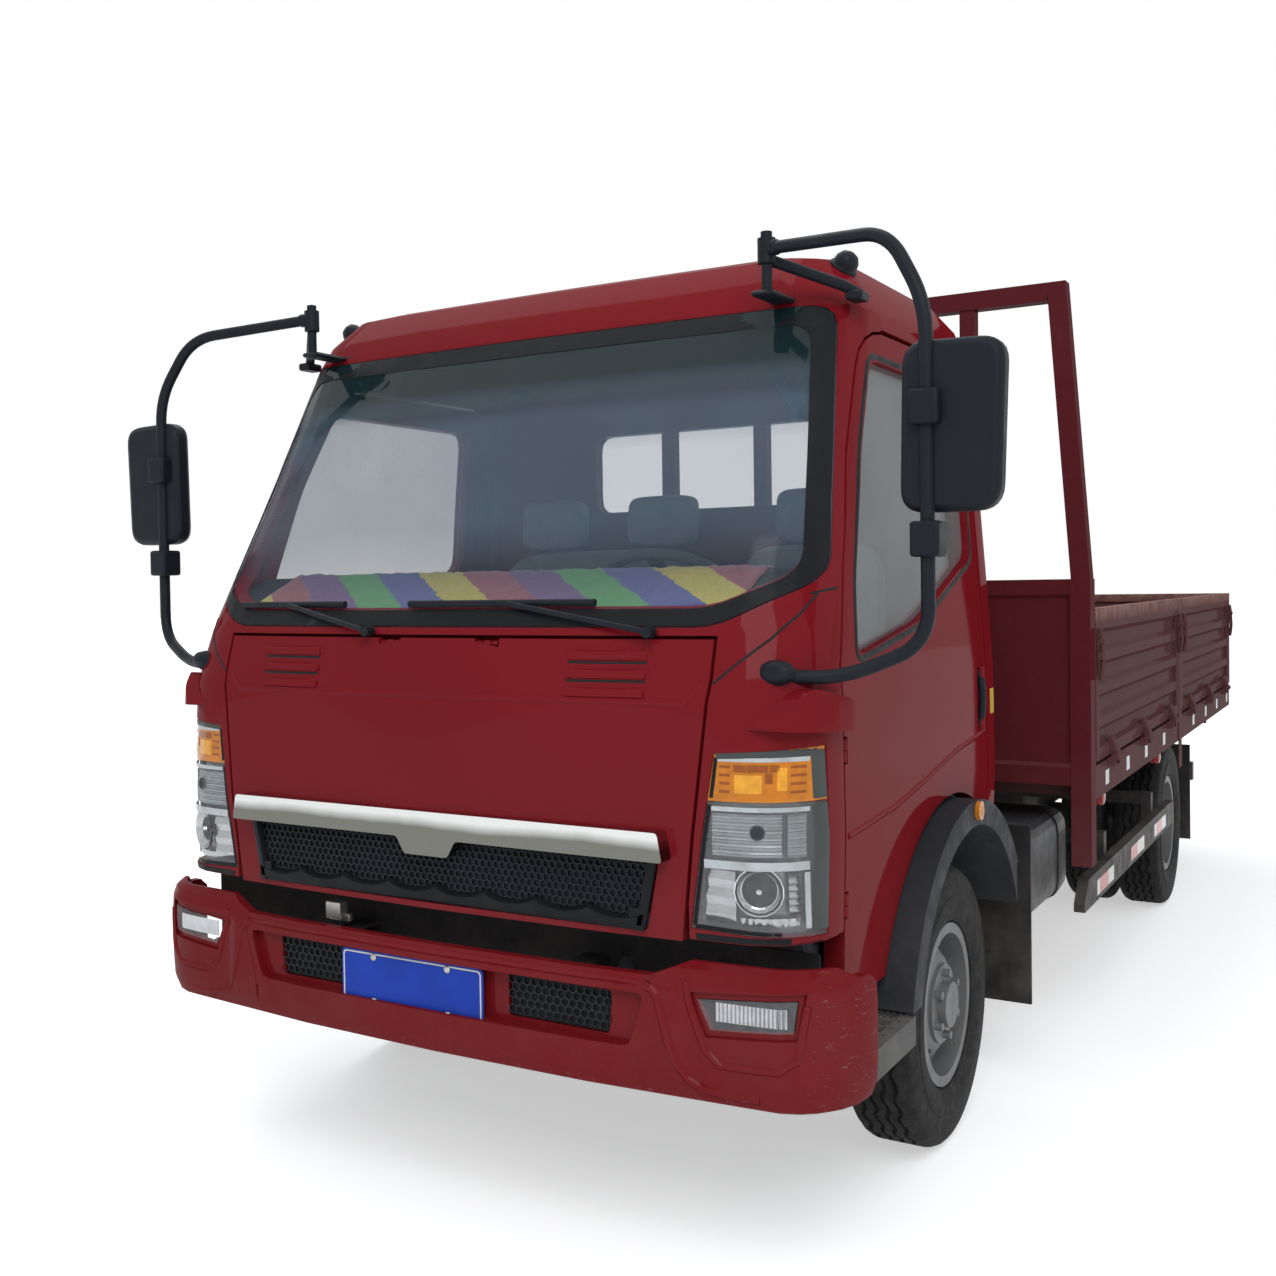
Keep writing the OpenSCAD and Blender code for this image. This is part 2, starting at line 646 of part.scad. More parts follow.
module frame() color(black) {
  y1 = frame_end;
  both_sides() {
    along_y(100, y1) polygon([[rail_x, rail_z0], [rail_x, frame_top], [rail_x - 62, frame_top],
      [rail_x - 62, frame_top - rail_t], [rail_x - rail_t, frame_top - rail_t], [rail_x - rail_t, rail_z0 + rail_t],
      [rail_x - 62, rail_z0 + rail_t], [rail_x - 62, rail_z0]]);
    rod_x(rail_x + eps, rail_x + 76, tilt_y, tilt_z, 14);
    rod_x(rail_x + eps, rail_x + 30, tilt_y, tilt_z, 32);
    // rear cab rest
    box(rail_x - 60, rail_x, 1500, 1556, frame_top + eps, platform_z - 60 - eps);
    // hangers of the springs
    for (y = [front_axle_y - front_spring - 30, front_axle_y + front_spring]) box(rail_x + eps, rail_x + 86, y, y + 30, 470, 600);
    for (y = [rear_axle_y - rear_spring - 30, rear_axle_y + rear_spring]) box(rail_x + eps, rail_x + 146, y, y + 30, 500, 640);
    // underrun bar's hangers
    box(rail_x + eps, rail_x + 40, y1 - 130, y1 - 60 - eps, rail_z0 - 90, frame_top);
  }
  box(-rail_x, rail_x, 1500, 1556, platform_z - 60, platform_z - eps);
  for (y = [300, 2300, 2900, 3500, (rear_axle_y + y1) / 2, y1 - 70]) box(-rail_x + rail_t + eps, rail_x - rail_t - eps, y, y + 60, rail_z0 + 30, frame_top - 30);
  box(-980, 980, y1 - 60, y1, rail_z0 - 100, rail_z0 - eps);
}

// One leaf pack in one stepped outline: middle of its span, side, seat height, half length, rise of the ends, leaves
module leaf_pack(x, yc, z, half, rise, leaves, w = 70, t = 12) {
  m = 6;
  steps = [for (k = [0 : leaves - 1]) let(u = 1 - 0.16 * k, v = 1 - 0.16 * (k + 1), zk = z + t * (leaves - 1 - k))
    each concat([[u, zk]], k < leaves - 1 ? [[v, zk]] : [])];
  low = [for (i = [2 : -1 : -2]) [i / 3 * (1 - 0.16 * (leaves - 1)), z]];
  flats = concat(steps, low, [for (i = [len(steps) - 1 : -1 : 0]) [-steps[i][0], steps[i][1]]]);
  along_x(x - w / 2, x + w / 2) polygon([for (p = concat([for (i = [-m : m]) [i / m, z + t * leaves]], flats))
    [yc + half * p[0], p[1] + rise * p[0] * p[0]]]);
}

module leaf_springs() color(grey) both_sides() {
  leaf_pack(rail_x + 46, front_axle_y, beam_top + eps, front_spring, 90, 3);
  leaf_pack(rail_x + 106, rear_axle_y, tyre_r + axle_tube_r + eps, rear_spring, 70, 5);
}

module front_axle() color(black) difference() {
  union() {
    along_y(front_axle_y - 35, front_axle_y + 35) polygon([[-kp_x + 20, 322], [-kp_x + 60, 322], [-480, 298], [480, 298],
      [kp_x - 60, 322], [kp_x - 20, 322], [kp_x - 20, beam_top], [-kp_x + 20, beam_top]]);
    both_sides() rod_z(kp_x, front_axle_y, 318, 382, 38);
  }
  both_sides() rod_z(kp_x, front_axle_y, 250, 450, 16.4);
  for (s = [-1, 1]) box(-440, 440, front_axle_y + s * 35 - 14, front_axle_y + s * 35 + 14, 312, 348);
}

module rear_axle() color(black) {
  rod_x(-640, 640, rear_axle_y, tyre_r, axle_tube_r);
  rod_x(-rear_x - 130, rear_x + 130, rear_axle_y, tyre_r, 49.6);
  // round casing of the final drive, and its nose
  translate([0, rear_axle_y, tyre_r]) rotate([90, 0, 0]) rotate_extrude()
    polygon([[0, -140], [80, -130], [150, -80], [175, -30], [175, 30], [150, 80], [90, 110], [0, 110]]);
  rod_y(0, rear_axle_y - 250, rear_axle_y - 60, tyre_r, 66);
}

module driveline() color(grey) {
  along_x(-300, 300) polygon(soft([[690, 430], [1420, 430], [1420, 760], [1300, 895], [720, 895], [690, 780]], 40, 3));
  along_y(1420, 2000) polygon(soft([[-170, 420], [170, 420], [150, 690], [-150, 690]], 60, 3));
  run = rear_axle_y - 250 - 1990;
  strut([0, 1990, 490], [0, rear_axle_y - 250 - eps - 38 * abs(490 - tyre_r) / run, tyre_r], 38);
}

module fuel_tank() color(grey) {
  x0 = rail_x + 130;
  x1 = rail_in - 95;
  along_y(1760, 2480) polygon(soft([[x0, 430], [x1, 430], [x1, 735], [x0, 735]], 70, 4));
  // bands, and the filler's neck and cap
  for (y = [1880, 2340]) {
    along_y(y, y + 44) difference() {
      polygon(soft([[x0 - 6, 424], [x1 + 6, 424], [x1 + 6, 741], [x0 - 6, 741]], 74, 4));
      polygon(soft([[x0 + 10, 440], [x1 - 10, 440], [x1 - 10, 725], [x0 + 10, 725]], 64, 4));
    }
    box(rail_x, x0 + 40, y, y + 44, 520, 640);
  }
  rod_z(x1 - 85, 1806, 700, 752, 34);
  rod_z(x1 - 85, 1806, 751, 770, 44);
}

module battery_box() color(black) mirror([1, 0, 0]) {
  x0 = rail_x + 170;
  x1 = rail_in - 120;
  along_y(1800, 2300) polygon(soft([[x0, 440], [x1, 440], [x1, 720], [x0, 720]], 20, 2));
  for (y = [1870, 2180]) box(rail_x, x0 + 10, y, y + 50, 520, 640);
}

module cab_steps() color(grey) both_sides() {
  x0 = arch_out - 210;
  difference() {
    translate([0, 0, 440]) linear_extrude(70)
      polygon(soft([[x0, 290], [arch_out, 290], [arch_out, 612], [x0, 612]], 18, 2));
    for (k = [0 : 4], j = [0 : 1])
      box(x0 + 30 + j * 78, x0 + 98 + j * 78, 315 + k * 58, 355 + k * 58, 498, 520);
  }
  for (y = [330, 470]) box(rail_x, x0 + 20, y, y + 40, 500, 540);
}

module mudflaps() color(black) both_sides() {
  box(700, 1050, 1668, 1680, 250, 800);
  box(rail_x, 720, 1680, 1720, 600, 640);
  box(620, 1080, rear_axle_y + 520, rear_axle_y + 532, 220, 700);
  box(rail_x, 1060, rear_axle_y + 532, rear_axle_y + 566, 600, 640);
}

module side_guards() color(black) both_sides() {
  x = rail_in + 20;
  along_x(x, x + 35) polygon([[bed_front + 60, 560], [bed_front - 10, 490], [bed_front - 10, 462], [guard_end, 462], [guard_end, 560]]);
  for (y = [bed_front + 505, guard_end - 370]) {
    box(rail_x, x - 40 - eps, y, y + 50, 590, 640);
    box(x - 40, x - eps, y, y + 50, 500, 640);
  }
}

// Load bed

module bed_floor() color(faded) {
  // deck sheet on the flanges of the rails and on the bearers
  box(-deck_half, deck_half, bed_front + post_w + 2, tail_out - 50, deck_under + eps, deck_top);
  box(-bed_half_w + 70, bed_half_w - 70, bed_front + 44 + eps, bed_front + post_w + 3, deck_under + eps, deck_top);
  both_sides() {
    along_y(bed_front + post_w + 2, tail_out - 60 - eps) polygon([[rail_out, rail_low], [rail_out, deck_under],
      [rail_in, deck_under], [rail_in, deck_under - 6], [rail_out - 6, deck_under - 6], [rail_out - 6, rail_low + 6],
      [rail_in, rail_low + 6], [rail_in, rail_low]]);
    // runners on the frame
    box(rail_x - 60, rail_x, bed_front + 45, tail_out - 100, frame_top, deck_top - 110 - eps);
    // hinge pins of the side boards on the rail
    for (b = [0, 1], k = [0 : 2]) hinge_seat(hinge_y(b, k));
  }
  box(-rail_out, rail_out, tail_out - 60, tail_out - 3, rail_low, deck_under);
  for (k = [0 : 7]) let(y = bed_front + post_w + 10 + k * (tail_out - bed_front - post_w - 140) / 7)
    box(-rail_in + eps, rail_in - eps, y, y + 60, deck_top - 110, deck_under);
  for (x = [-800, 0, 800]) tail_seat(x);
}

// Place of hinge k on the front or rear side board
function hinge_y(b, k) = let(y0 = b == 0 ? boards_y0 : mid_post_y + post_w / 2 + 5,
  y1 = b == 0 ? mid_post_y - post_w / 2 - 5 : boards_y1) y0 + (y1 - y0) * (0.14 + 0.36 * k);

module hinge_seat(y) {
  rod_y(hinge_x, y - 58, y + 58, hinge_z, 8);
  for (d = [-56, 34]) {
    rod_y(hinge_x, y + d, y + d + 22, hinge_z, 13);
    box(rail_out + eps, hinge_x, y + d, y + d + 22, hinge_z - 30, hinge_z);
  }
}

module tail_seat(x) {
  rod_x(x - 58, x + 58, tail_pin_y, hinge_z, 8);
  for (d = [-56, 34]) {
    rod_x(x + d, x + d + 22, tail_pin_y, hinge_z, 13);
    box(x + d, x + d + 22, tail_out - 3 + eps, tail_pin_y, hinge_z - 30, hinge_z);
  }
}

// Height section of a board: flat sheet, ribs on the outside, top rail; 0 is the outer face
function board_section() = let(pitch = (board_h - 70) / board_ribs) concat(
  [[-board_t, 0], [0, 0], [0, 40]],
  [for (k = [0 : board_ribs - 1]) let(z = 48 + k * pitch) each
    [[-16, z], [-16, z + pitch * 0.42], [-2, z + pitch * 0.56], [-2, z + pitch * 0.86]]],
  [[0, board_h - 44], [0, board_h], [-board_t, board_h], [-board_t, board_h - 44], [-30, board_h - 50], [-30, 44], [-board_t, 40]]);

module side_board(b) {
  y0 = b == 0 ? boards_y0 : mid_post_y + post_w / 2 + 5;
  y1 = b == 0 ? mid_post_y - post_w / 2 - 5 : boards_y1;
  translate([bed_half_w, 0, board_z0]) {
    along_y(y0, y1) polygon(board_section());
    for (y = [y0, y1 - 50]) box(-board_t, 0, y, y + 50, 0, board_h);
  }
  for (k = [0 : 2]) let(y = hinge_y(b, k)) difference() {
    union() {
      rod_y(hinge_x, y - 30, y + 30, hinge_z, 13);
      along_y(y - 30, y + 30) polygon([[hinge_x - 6, hinge_z], [hinge_x + 12, hinge_z], [bed_half_w + 6, board_z0 + 60], [bed_half_w - 6, board_z0 + 60], [bed_half_w - 6, board_z0 + 8]]);
    }
    rod_y(hinge_x, y - 70, y + 70, hinge_z, 8.4);
  }
}

module tailgate() color(faded) {
  translate([0, tail_out, board_z0]) {
    rotate([0, 0, 90]) along_y(-bed_half_w, bed_half_w) polygon(board_section());
    for (x = [-bed_half_w, bed_half_w - 50]) box(x, x + 50, -board_t, 0, 0, board_h);
  }
  for (x = [-800, 0, 800]) difference() {
    union() {
      rod_x(x - 30, x + 30, tail_pin_y, hinge_z, 13);
      along_x(x - 30, x + 30) polygon([[tail_pin_y - 6, hinge_z], [tail_pin_y + 12, hinge_z], [tail_out + 6, board_z0 + 60], [tail_out - 6, board_z0 + 60], [tail_out - 6, board_z0 + 8]]);
    }
    rod_x(x - 70, x + 70, tail_pin_y, hinge_z, 8.4);
  }
}

module board_left_front() color(faded) side_board(0);
module board_left_rear() color(faded) side_board(1);
module board_right_front() color(faded) mirror([1, 0, 0]) side_board(0);
module board_right_rear() color(faded) mirror([1, 0, 0]) side_board(1);

// Posts of the headboard along its width
gantry_posts = [-0.66, -0.33, 0, 0.33, 0.66];

module headboard() color(red) {
  y0 = bed_front;
  y1 = bed_front + post_w;
  lean = 70; // the gantry's corner posts lean in towards the top
  both_sides() {
    box(bed_half_w - 66, bed_half_w - 2, y0, y1, 610, headboard_top);
    along_y(y0, y1 - 16) polygon([[bed_half_w - 62, headboard_top - 2], [bed_half_w - 2, headboard_top - 2],
      [bed_half_w - 2 - lean, gantry_top], [bed_half_w - 62 - lean, gantry_top]]);
  }
  // plain panel between the posts, with a rail along its top and its foot
  along_x(-bed_half_w + 60, bed_half_w - 60) polygon([[y0 + 44, rail_low + 52], [y0 + 44, headboard_top],
    [y0 + 4, headboard_top], [y0 + 4, headboard_top - 50], [y0 + 16, headboard_top - 62],
    [y0 + 16, rail_low + 124], [y0 + 4, rail_low + 112], [y0 + 4, rail_low + 52]]);
  box(-bed_half_w + 60 + lean, bed_half_w - 60 - lean, y0, y1 - 16, gantry_top - 60, gantry_top);
  for (f = gantry_posts) box(f * bed_half_w - 25, f * bed_half_w + 25, y0 + 5, y1 - 21, headboard_top - 1, gantry_top - 59);
}

module bed_posts() color(faded) both_sides() {
  box(rail_out + 0.3 - 60, bed_half_w + 2, mid_post_y - post_w / 2, mid_post_y + post_w / 2, deck_under + eps, board_top);
  box(rail_out + 0.3, bed_half_w + 2, mid_post_y - post_w / 2, mid_post_y + post_w / 2, rail_low - 120, deck_top + 10);
}

// Steering

arm_len = 220; // kingpin to tie rod pin
arm_in = 0;    // the pin's distance inwards of the kingpin
rod_z0 = 262;  // tie rod's height

module knuckle() {
  difference() {
    union() {
      // fork over and under the axle's eye
      for (z = [[272, 317.4], [382.6, 428]]) rod_z(kp_x, front_axle_y, z[0], z[1], 38);
      box(kp_x + 39, kp_x + 62, front_axle_y - 40, front_axle_y + 40, 272, 428);
      for (z = [[272, 317.4], [382.6, 428]]) box(kp_x, kp_x + 45, front_axle_y - 38, front_axle_y + 38, z[0], z[1]);
      rod_z(kp_x, front_axle_y, 268, 432, 16);
      rod_x(kp_x + 50, kp_x + 74, front_axle_y, tyre_r, 150);
      rod_x(kp_x + 60, front_x + 60, front_axle_y, tyre_r, 35);
      // steering arm to the tie rod
      along_z_arm();
      rod_z(kp_x - arm_in, front_axle_y + arm_len, 272, 300, 24);
    }
    rod_z(kp_x - arm_in, front_axle_y + arm_len, 200, 340, 10.5);
  }
}

module along_z_arm() translate([0, 0, 274]) linear_extrude(24) polygon([[kp_x - 20, front_axle_y + 20],
  [kp_x + 24, front_axle_y + 20], [kp_x - arm_in + 16, front_axle_y + arm_len], [kp_x - arm_in - 16, front_axle_y + arm_len]]);

module knuckle_left() color(black) knuckle();
module knuckle_right() color(black) mirror([1, 0, 0]) knuckle();

module tie_rod() color(steel) {
  x = kp_x - arm_in;
  y = front_axle_y + arm_len;
  rod_x(-x + 10, x - 10, y, rod_z0 - 8, 13);
  both_sides() {
    rod_z(x, y, rod_z0 - 24, rod_z0 + 8, 20);
    rod_z(x, y, rod_z0, 298, 10);
  }
}

// Wheels

module tyre() rotate([0, 90, 0]) rotate_extrude($fn = 96) let(w = tyre_w / 2, r = rim_d / 2)
  polygon([[r - 18, -w + 32], [r + 1, -w + 32], [r + 6, -w + 14], [r + 70, -w], [tyre_r - 24, -w + 8], [tyre_r - 5, -w + 26], [tyre_r, -w + 60],
    [tyre_r, w - 60], [tyre_r - 5, w - 26], [tyre_r - 24, w - 8], [r + 70, w], [r + 6, w - 14], [r + 1, w - 32], [r - 18, w - 32]]);

// Barrel of a rim between its flanges, then the disc's shape from the hub out to the barrel
module rim_barrel() let(r = rim_d / 2, w = tyre_w / 2 - 22) rotate([0, 90, 0]) rotate_extrude($fn = 96)
  polygon([[r - 28, -w - 4], [r, -w - 4], [r, -w + 1], [r - 18.6, -w + 1], [r - 18.6, w - 1], [r, w - 1], [r, w + 4], [r - 28, w + 4]]);

// Disc: offset of the hub plane outwards from the wheel's middle
module rim_disc(out, bore) let(r = rim_d / 2 - 27) difference() {
  rotate([0, 90, 0]) rotate_extrude($fn = 96)
    polygon([[bore, out - 12], [112, out - 12], [r - 30, out * 0.45 - 10], [r, out * 0.3 - 10], [r + 2, out * 0.3 + 2], [r - 26, out * 0.45 + 2], [118, out], [bore, out]]);
  for (a = [0 : 60 : 300]) rotate([a + 30, 0, 0]) translate([-150, 0, 152]) rotate([0, 90, 0]) cylinder(h = 300, r = 22);
}

module front_rim() {
  rim_barrel();
  rim_disc(62, 60);
  // hub with its cap and bolts
  difference() {
    union() {
      rod_x(-20, 96, 0, 0, 62);
      rod_x(58, 72, 0, 0, 108);
      for (a = [0 : 60 : 300]) rotate([a, 0, 0]) rod_x(60, 92, 0, 86, 11);
    }
    rod_x(-40, 64, 0, 0, 35.4);
  }
}

module rear_rims() {
  for (s = [-1, 1]) translate([s * twin_pitch / 2, 0, 0]) {
    rim_barrel();
    rim_disc(-s * (twin_pitch / 2 - 1 + (s < 0 ? -12 : 0)) + 0, 50);
  }
  difference() {
    union() {
      rod_x(-20, 172, 0, 0, 74);
      rod_x(-14, 26, 0, 0, 112);
      for (a = [0 : 60 : 300]) rotate([a, 0, 0]) rod_x(20, 52, 0, 90, 11);
    }
    rod_x(-60, 140, 0, 0, 50);
  }
}

module at_front() translate([front_x, front_axle_y, tyre_r]) children();
module at_rear() translate([rear_x, rear_axle_y, tyre_r]) children();

module front_left_tyre() color(black) at_front() tyre();
module front_left_rim() color(steel) at_front() front_rim();
module front_right_tyre() color(black) mirror([1, 0, 0]) at_front() tyre();
module front_right_rim() color(steel) mirror([1, 0, 0]) at_front() front_rim();
module rear_left_tyres() color(black) at_rear() for (s = [-0.5, 0.5]) translate([s * twin_pitch, 0, 0]) tyre();
module rear_left_rims() color(steel) at_rear() rear_rims();
module rear_right_tyres() color(black) mirror([1, 0, 0]) at_rear() for (s = [-0.5, 0.5]) translate([s * twin_pitch, 0, 0]) tyre();
module rear_right_rims() color(steel) mirror([1, 0, 0]) at_rear() rear_rims();

// The parts

place() frame();
place() leaf_springs();
place() front_axle();
place() rear_axle();
place() driveline();
place() fuel_tank();
place() battery_box();
place() front_bumper();
place() bumper_grilles();
place() lamps();
place() cab_steps();
place() mudflaps();
place() side_guards();
place() bed_floor();
place() headboard();
place() bed_posts();
place() cab_floor();
place() cab_front();
place() cab_roof();
place() cab_rear();
place() cab_sides();
place() cab_glass();
place() headlamps();
place() indicators();
place() corner_vanes();
place() wheel_arches();
place() mirrors();
place() wipers();
place() dashboard();
place() steering_wheel();
place() seats();
place() front_panel();
place() front_grille();
place() chrome_bar();
place() door_left();
place() door_left_glass();
place() door_right();
place() door_right_glass();
place() board_left_front();
place() board_left_rear();
place() board_right_front();
place() board_right_rear();
place() tailgate();
place() knuckle_left();
place() knuckle_right();
place() tie_rod();
place() front_left_tyre();
place() front_left_rim();
place() front_right_tyre();
place() front_right_rim();
place() rear_left_tyres();
place() rear_left_rims();
place() rear_right_tyres();
place() rear_right_rims();
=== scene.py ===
import math

import bmesh
import bpy
from mathutils import Matrix, Vector, noise
from mathutils.bvhtree import BVHTree


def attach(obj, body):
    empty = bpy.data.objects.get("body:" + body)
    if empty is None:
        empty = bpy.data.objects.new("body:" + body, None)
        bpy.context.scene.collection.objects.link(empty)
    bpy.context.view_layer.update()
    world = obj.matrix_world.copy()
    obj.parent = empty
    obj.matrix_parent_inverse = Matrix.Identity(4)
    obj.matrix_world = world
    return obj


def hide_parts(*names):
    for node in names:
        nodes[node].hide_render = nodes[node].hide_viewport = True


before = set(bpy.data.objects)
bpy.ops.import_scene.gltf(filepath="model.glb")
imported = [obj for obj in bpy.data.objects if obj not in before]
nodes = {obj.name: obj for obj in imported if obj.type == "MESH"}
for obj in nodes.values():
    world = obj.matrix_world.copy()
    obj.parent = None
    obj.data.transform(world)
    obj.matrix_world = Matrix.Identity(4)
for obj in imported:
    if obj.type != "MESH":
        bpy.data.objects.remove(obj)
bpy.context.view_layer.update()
scene = bpy.context.scene
HALF = 2.995  # metres from the bumper's face to the middle of the truck
SIDES = ((1, "left"), (-1, "right"))
FORWARD = Vector((0, -1, 0))


def at(x, y, z):
    return Vector((x / 1000, y / 1000 - HALF, z / 1000))


# Shader node helpers

def link(t, a, b):
    t.links.new(a, b)


def add(t, kind, ins=None, **props):
    n = t.nodes.new(kind)
    for k, v in props.items():
        setattr(n, k, v)
    for k, v in (ins or {}).items():
        if isinstance(v, bpy.types.NodeSocket):
            link(t, v, n.inputs[k])
        else:
            n.inputs[k].default_value = v
    return n


def calc(t, operation, a, b=0.0):
    return add(t, "ShaderNodeMath", {0: a, 1: b}, operation=operation).outputs[0]


def ramp(t, value, lo, hi, a=0.0, b=1.0):
    """Runs from a to b while the value runs from lo to hi."""
    ins = {"Value": value, "From Min": lo, "From Max": hi, "To Min": a, "To Max": b}
    return add(t, "ShaderNodeMapRange", ins).outputs[0]


def blend(t, amount, under, over, kind="MIX"):
    ins = {0: amount, 6: under, 7: over}
    return add(t, "ShaderNodeMix", ins, data_type="RGBA", blend_type=kind).outputs[2]


def looked_at(t):
    """1 for rays that see the background, also in metal and glass, and 0 for rays that light the truck."""
    path = add(t, "ShaderNodeLightPath").outputs
    seen = calc(t, "MAXIMUM", path["Is Camera Ray"], path["Is Transmission Ray"])
    return calc(t, "MAXIMUM", seen, path["Is Glossy Ray"])


# Camera, light and floor

FRAME_PX = 1276            # width and height of the picture
FOCAL_PX = 1364.6          # length of the lens in picture pixels
AIM_PX = (559.83, 616.51)  # the picture point that the camera faces
CAMERA_AT = (2.051, -5.615, 1.562)
YAW, PITCH, ROLL = 0.560, -0.023, -0.016
SENSOR = 36
SKY = (0.46, 0.48, 0.51, 1)
PURE_WHITE = (1, 1, 1, 1)
LAMPS = [  # name, place, aim, size, power
    ("key", (3.5, -7.5, 6.5), (0.2, -2.0, 1.2), 4.5, 265),
    ("side", (8.5, 0.5, 5.0), (0.6, 0.4, 0.9), 5.0, 35),
    ("top", (-2.5, 0.5, 8.0), (0, 0, 1), 6.0, 200),
]


def make_camera():
    forward = Vector((-math.sin(YAW) * math.cos(PITCH), math.cos(YAW) * math.cos(PITCH), math.sin(PITCH)))
    right = Vector((math.cos(YAW), math.sin(YAW), 0))
    up = right.cross(forward)
    turned = math.cos(ROLL) * right + math.sin(ROLL) * up
    up = math.cos(ROLL) * up - math.sin(ROLL) * right
    cam = bpy.data.objects.new("camera", bpy.data.cameras.new("camera"))
    scene.collection.objects.link(cam)
    cam.matrix_world = Matrix((turned, up, -forward)).transposed().to_4x4()
    cam.location = CAMERA_AT
    cam.data.sensor_width = SENSOR
    cam.data.lens = SENSOR * FOCAL_PX / FRAME_PX
    cam.data.shift_x = (FRAME_PX / 2 - AIM_PX[0]) / FRAME_PX
    cam.data.shift_y = (AIM_PX[1] - FRAME_PX / 2) / FRAME_PX
    cam.data.clip_end = 100
    scene.camera = cam


def make_light():
    scene.view_settings.view_transform = "Standard"
    world = bpy.data.worlds.new("studio")
    scene.world = world
    world.use_nodes = True
    t = world.node_tree
    back = t.nodes["Background"]
    link(t, blend(t, looked_at(t), SKY, PURE_WHITE), back.inputs["Color"])
    back.inputs["Strength"].default_value = 1
    for name, place, aim, size, power in LAMPS:
        lamp = bpy.data.objects.new(name, bpy.data.lights.new(name, "AREA"))
        scene.collection.objects.link(lamp)
        lamp.data.size = size
        lamp.data.energy = power
        lamp.location = place
        lamp.rotation_euler = (Vector(aim) - Vector(place)).to_track_quat("-Z", "Y").to_euler()


def make_floor():
    bm = bmesh.new()
    bmesh.ops.create_grid(bm, x_segments=2, y_segments=2, size=60)
    me = bpy.data.meshes.new("floor")
    bm.to_mesh(me)
    bm.free()
    floor = bpy.data.objects.new("floor", me)
    floor.location.z = -0.001
    scene.collection.objects.link(floor)
    m = bpy.data.materials.new("floor_pale")
    m.use_nodes = True
    t = m.node_tree
    b = t.nodes["Principled BSDF"]
    b.inputs["Base Color"].default_value = (0.92, 0.92, 0.92, 1)
    b.inputs["Roughness"].default_value = 0.9
    b.inputs["Specular IOR Level"].default_value = 0.1
    b.inputs["Emission Color"].default_value = PURE_WHITE
    # to the eye the floor turns as white as the background further from the truck, without lighting it
    place = add(t, "ShaderNodeTexCoord").outputs["Object"]
    reach = add(t, "ShaderNodeVectorMath", {0: place}, operation="LENGTH").outputs["Value"]
    glow = calc(t, "MULTIPLY", ramp(t, reach, 2.6, 7.5, 0.5, 1.0), looked_at(t))
    link(t, glow, b.inputs["Emission Strength"])
    me.materials.append(m)


make_camera()
make_light()
make_floor()


# Materials

DUST = (0.30, 0.26, 0.22)


class Finish:
    """A material under construction: its Principled shader and object coordinates."""

    def __init__(self, name, color, rough, **sockets):
        self.m = bpy.data.materials.new(name)
        self.m.use_nodes = True
        self.t = self.m.node_tree
        self.b = self.t.nodes["Principled BSDF"]
        self.at = add(self.t, "ShaderNodeTexCoord").outputs["Object"]
        self.axes = add(self.t, "ShaderNodeSeparateXYZ", {0: self.at}).outputs
        self.color = (*color, 1)
        self.b.inputs["Base Color"].default_value = self.color
        self.b.inputs["Roughness"].default_value = rough
        for k, v in sockets.items():
            self.b.inputs[k.replace("_", " ")].default_value = v

    def math(self, operation, a, b=0.0):
        return calc(self.t, operation, a, b)

    def times(self, a, b):
        return calc(self.t, "MULTIPLY", a, b)

    def plus(self, a, b):
        return calc(self.t, "ADD", a, b)

    def span(self, value, lo, hi, a=0.0, b=1.0):
        return ramp(self.t, value, lo, hi, a, b)

    def stretched(self, x, y, z):
        return add(self.t, "ShaderNodeMapping", {"Vector": self.at, "Scale": (x, y, z)}).outputs[0]

    def noise(self, scale, detail=3.0, rough=0.55, vec=None):
        ins = {"Vector": vec or self.at, "Scale": scale, "Detail": detail, "Roughness": rough}
        return add(self.t, "ShaderNodeTexNoise", ins).outputs[0]

    def under(self):
        base = self.b.inputs["Base Color"]
        return base.links[0].from_socket if base.links else self.color

    def layer(self, amount, color):
        """Lays a colour over what is there by an amount from 0 to 1."""
        link(self.t, blend(self.t, amount, self.under(), (*color, 1)), self.b.inputs["Base Color"])

    def shade(self, value, lo, hi):
        """Multiplies the colour by a grey between lo and hi."""
        grey = self.span(value, 0.3, 0.7, lo, hi)
        link(self.t, blend(self.t, 1.0, self.under(), grey, "MULTIPLY"), self.b.inputs["Base Color"])

    def rough(self, value, lo, hi):
        link(self.t, self.span(value, 0.3, 0.7, lo, hi), self.b.inputs["Roughness"])

    def bump(self, height, strength=0.2, distance=0.002):
        n = add(self.t, "ShaderNodeBump", {"Height": height, "Strength": strength, "Distance": distance})
        link(self.t, n.outputs[0], self.b.inputs["Normal"])

    def dirt(self, low, high, color, most):
        """Dust that thins out from a low height to a high one, in patches."""
        band = self.span(self.axes[2], low, high, 1.0, 0.0)
        patch = self.span(self.noise(6.0, 6.0, 0.65), 0.35, 0.7, 0.15, 1.0)
        self.layer(self.times(self.times(band, patch), most), color)


def paint(name, color, rough, coat, wear, dust):
    f = Finish(name, color, rough, Coat_Weight=coat, Coat_Roughness=0.05, Specular_IOR_Level=0.0)
    f.shade(f.noise(1.1, 1.0), 0.94, 1.05)
    f.layer(f.span(f.noise(90, 5.0, 0.7), 0.68, 0.82, 0.0, 0.22), (0.26, 0.14, 0.13))
    if wear:
        streak = f.noise(1.0, 8.0, 0.72, f.stretched(22, 3.0, 22))
        f.layer(f.span(streak, 0.55, 0.75, 0.0, wear), (0.26, 0.17, 0.15))
    f.dirt(0.45, 1.0, DUST, dust)
    f.rough(f.noise(9, 5.0, 0.6), rough * 0.8, min(1.0, rough * 1.35))
    f.bump(f.noise(420, 2.0), 0.05, 0.0006)
    return f


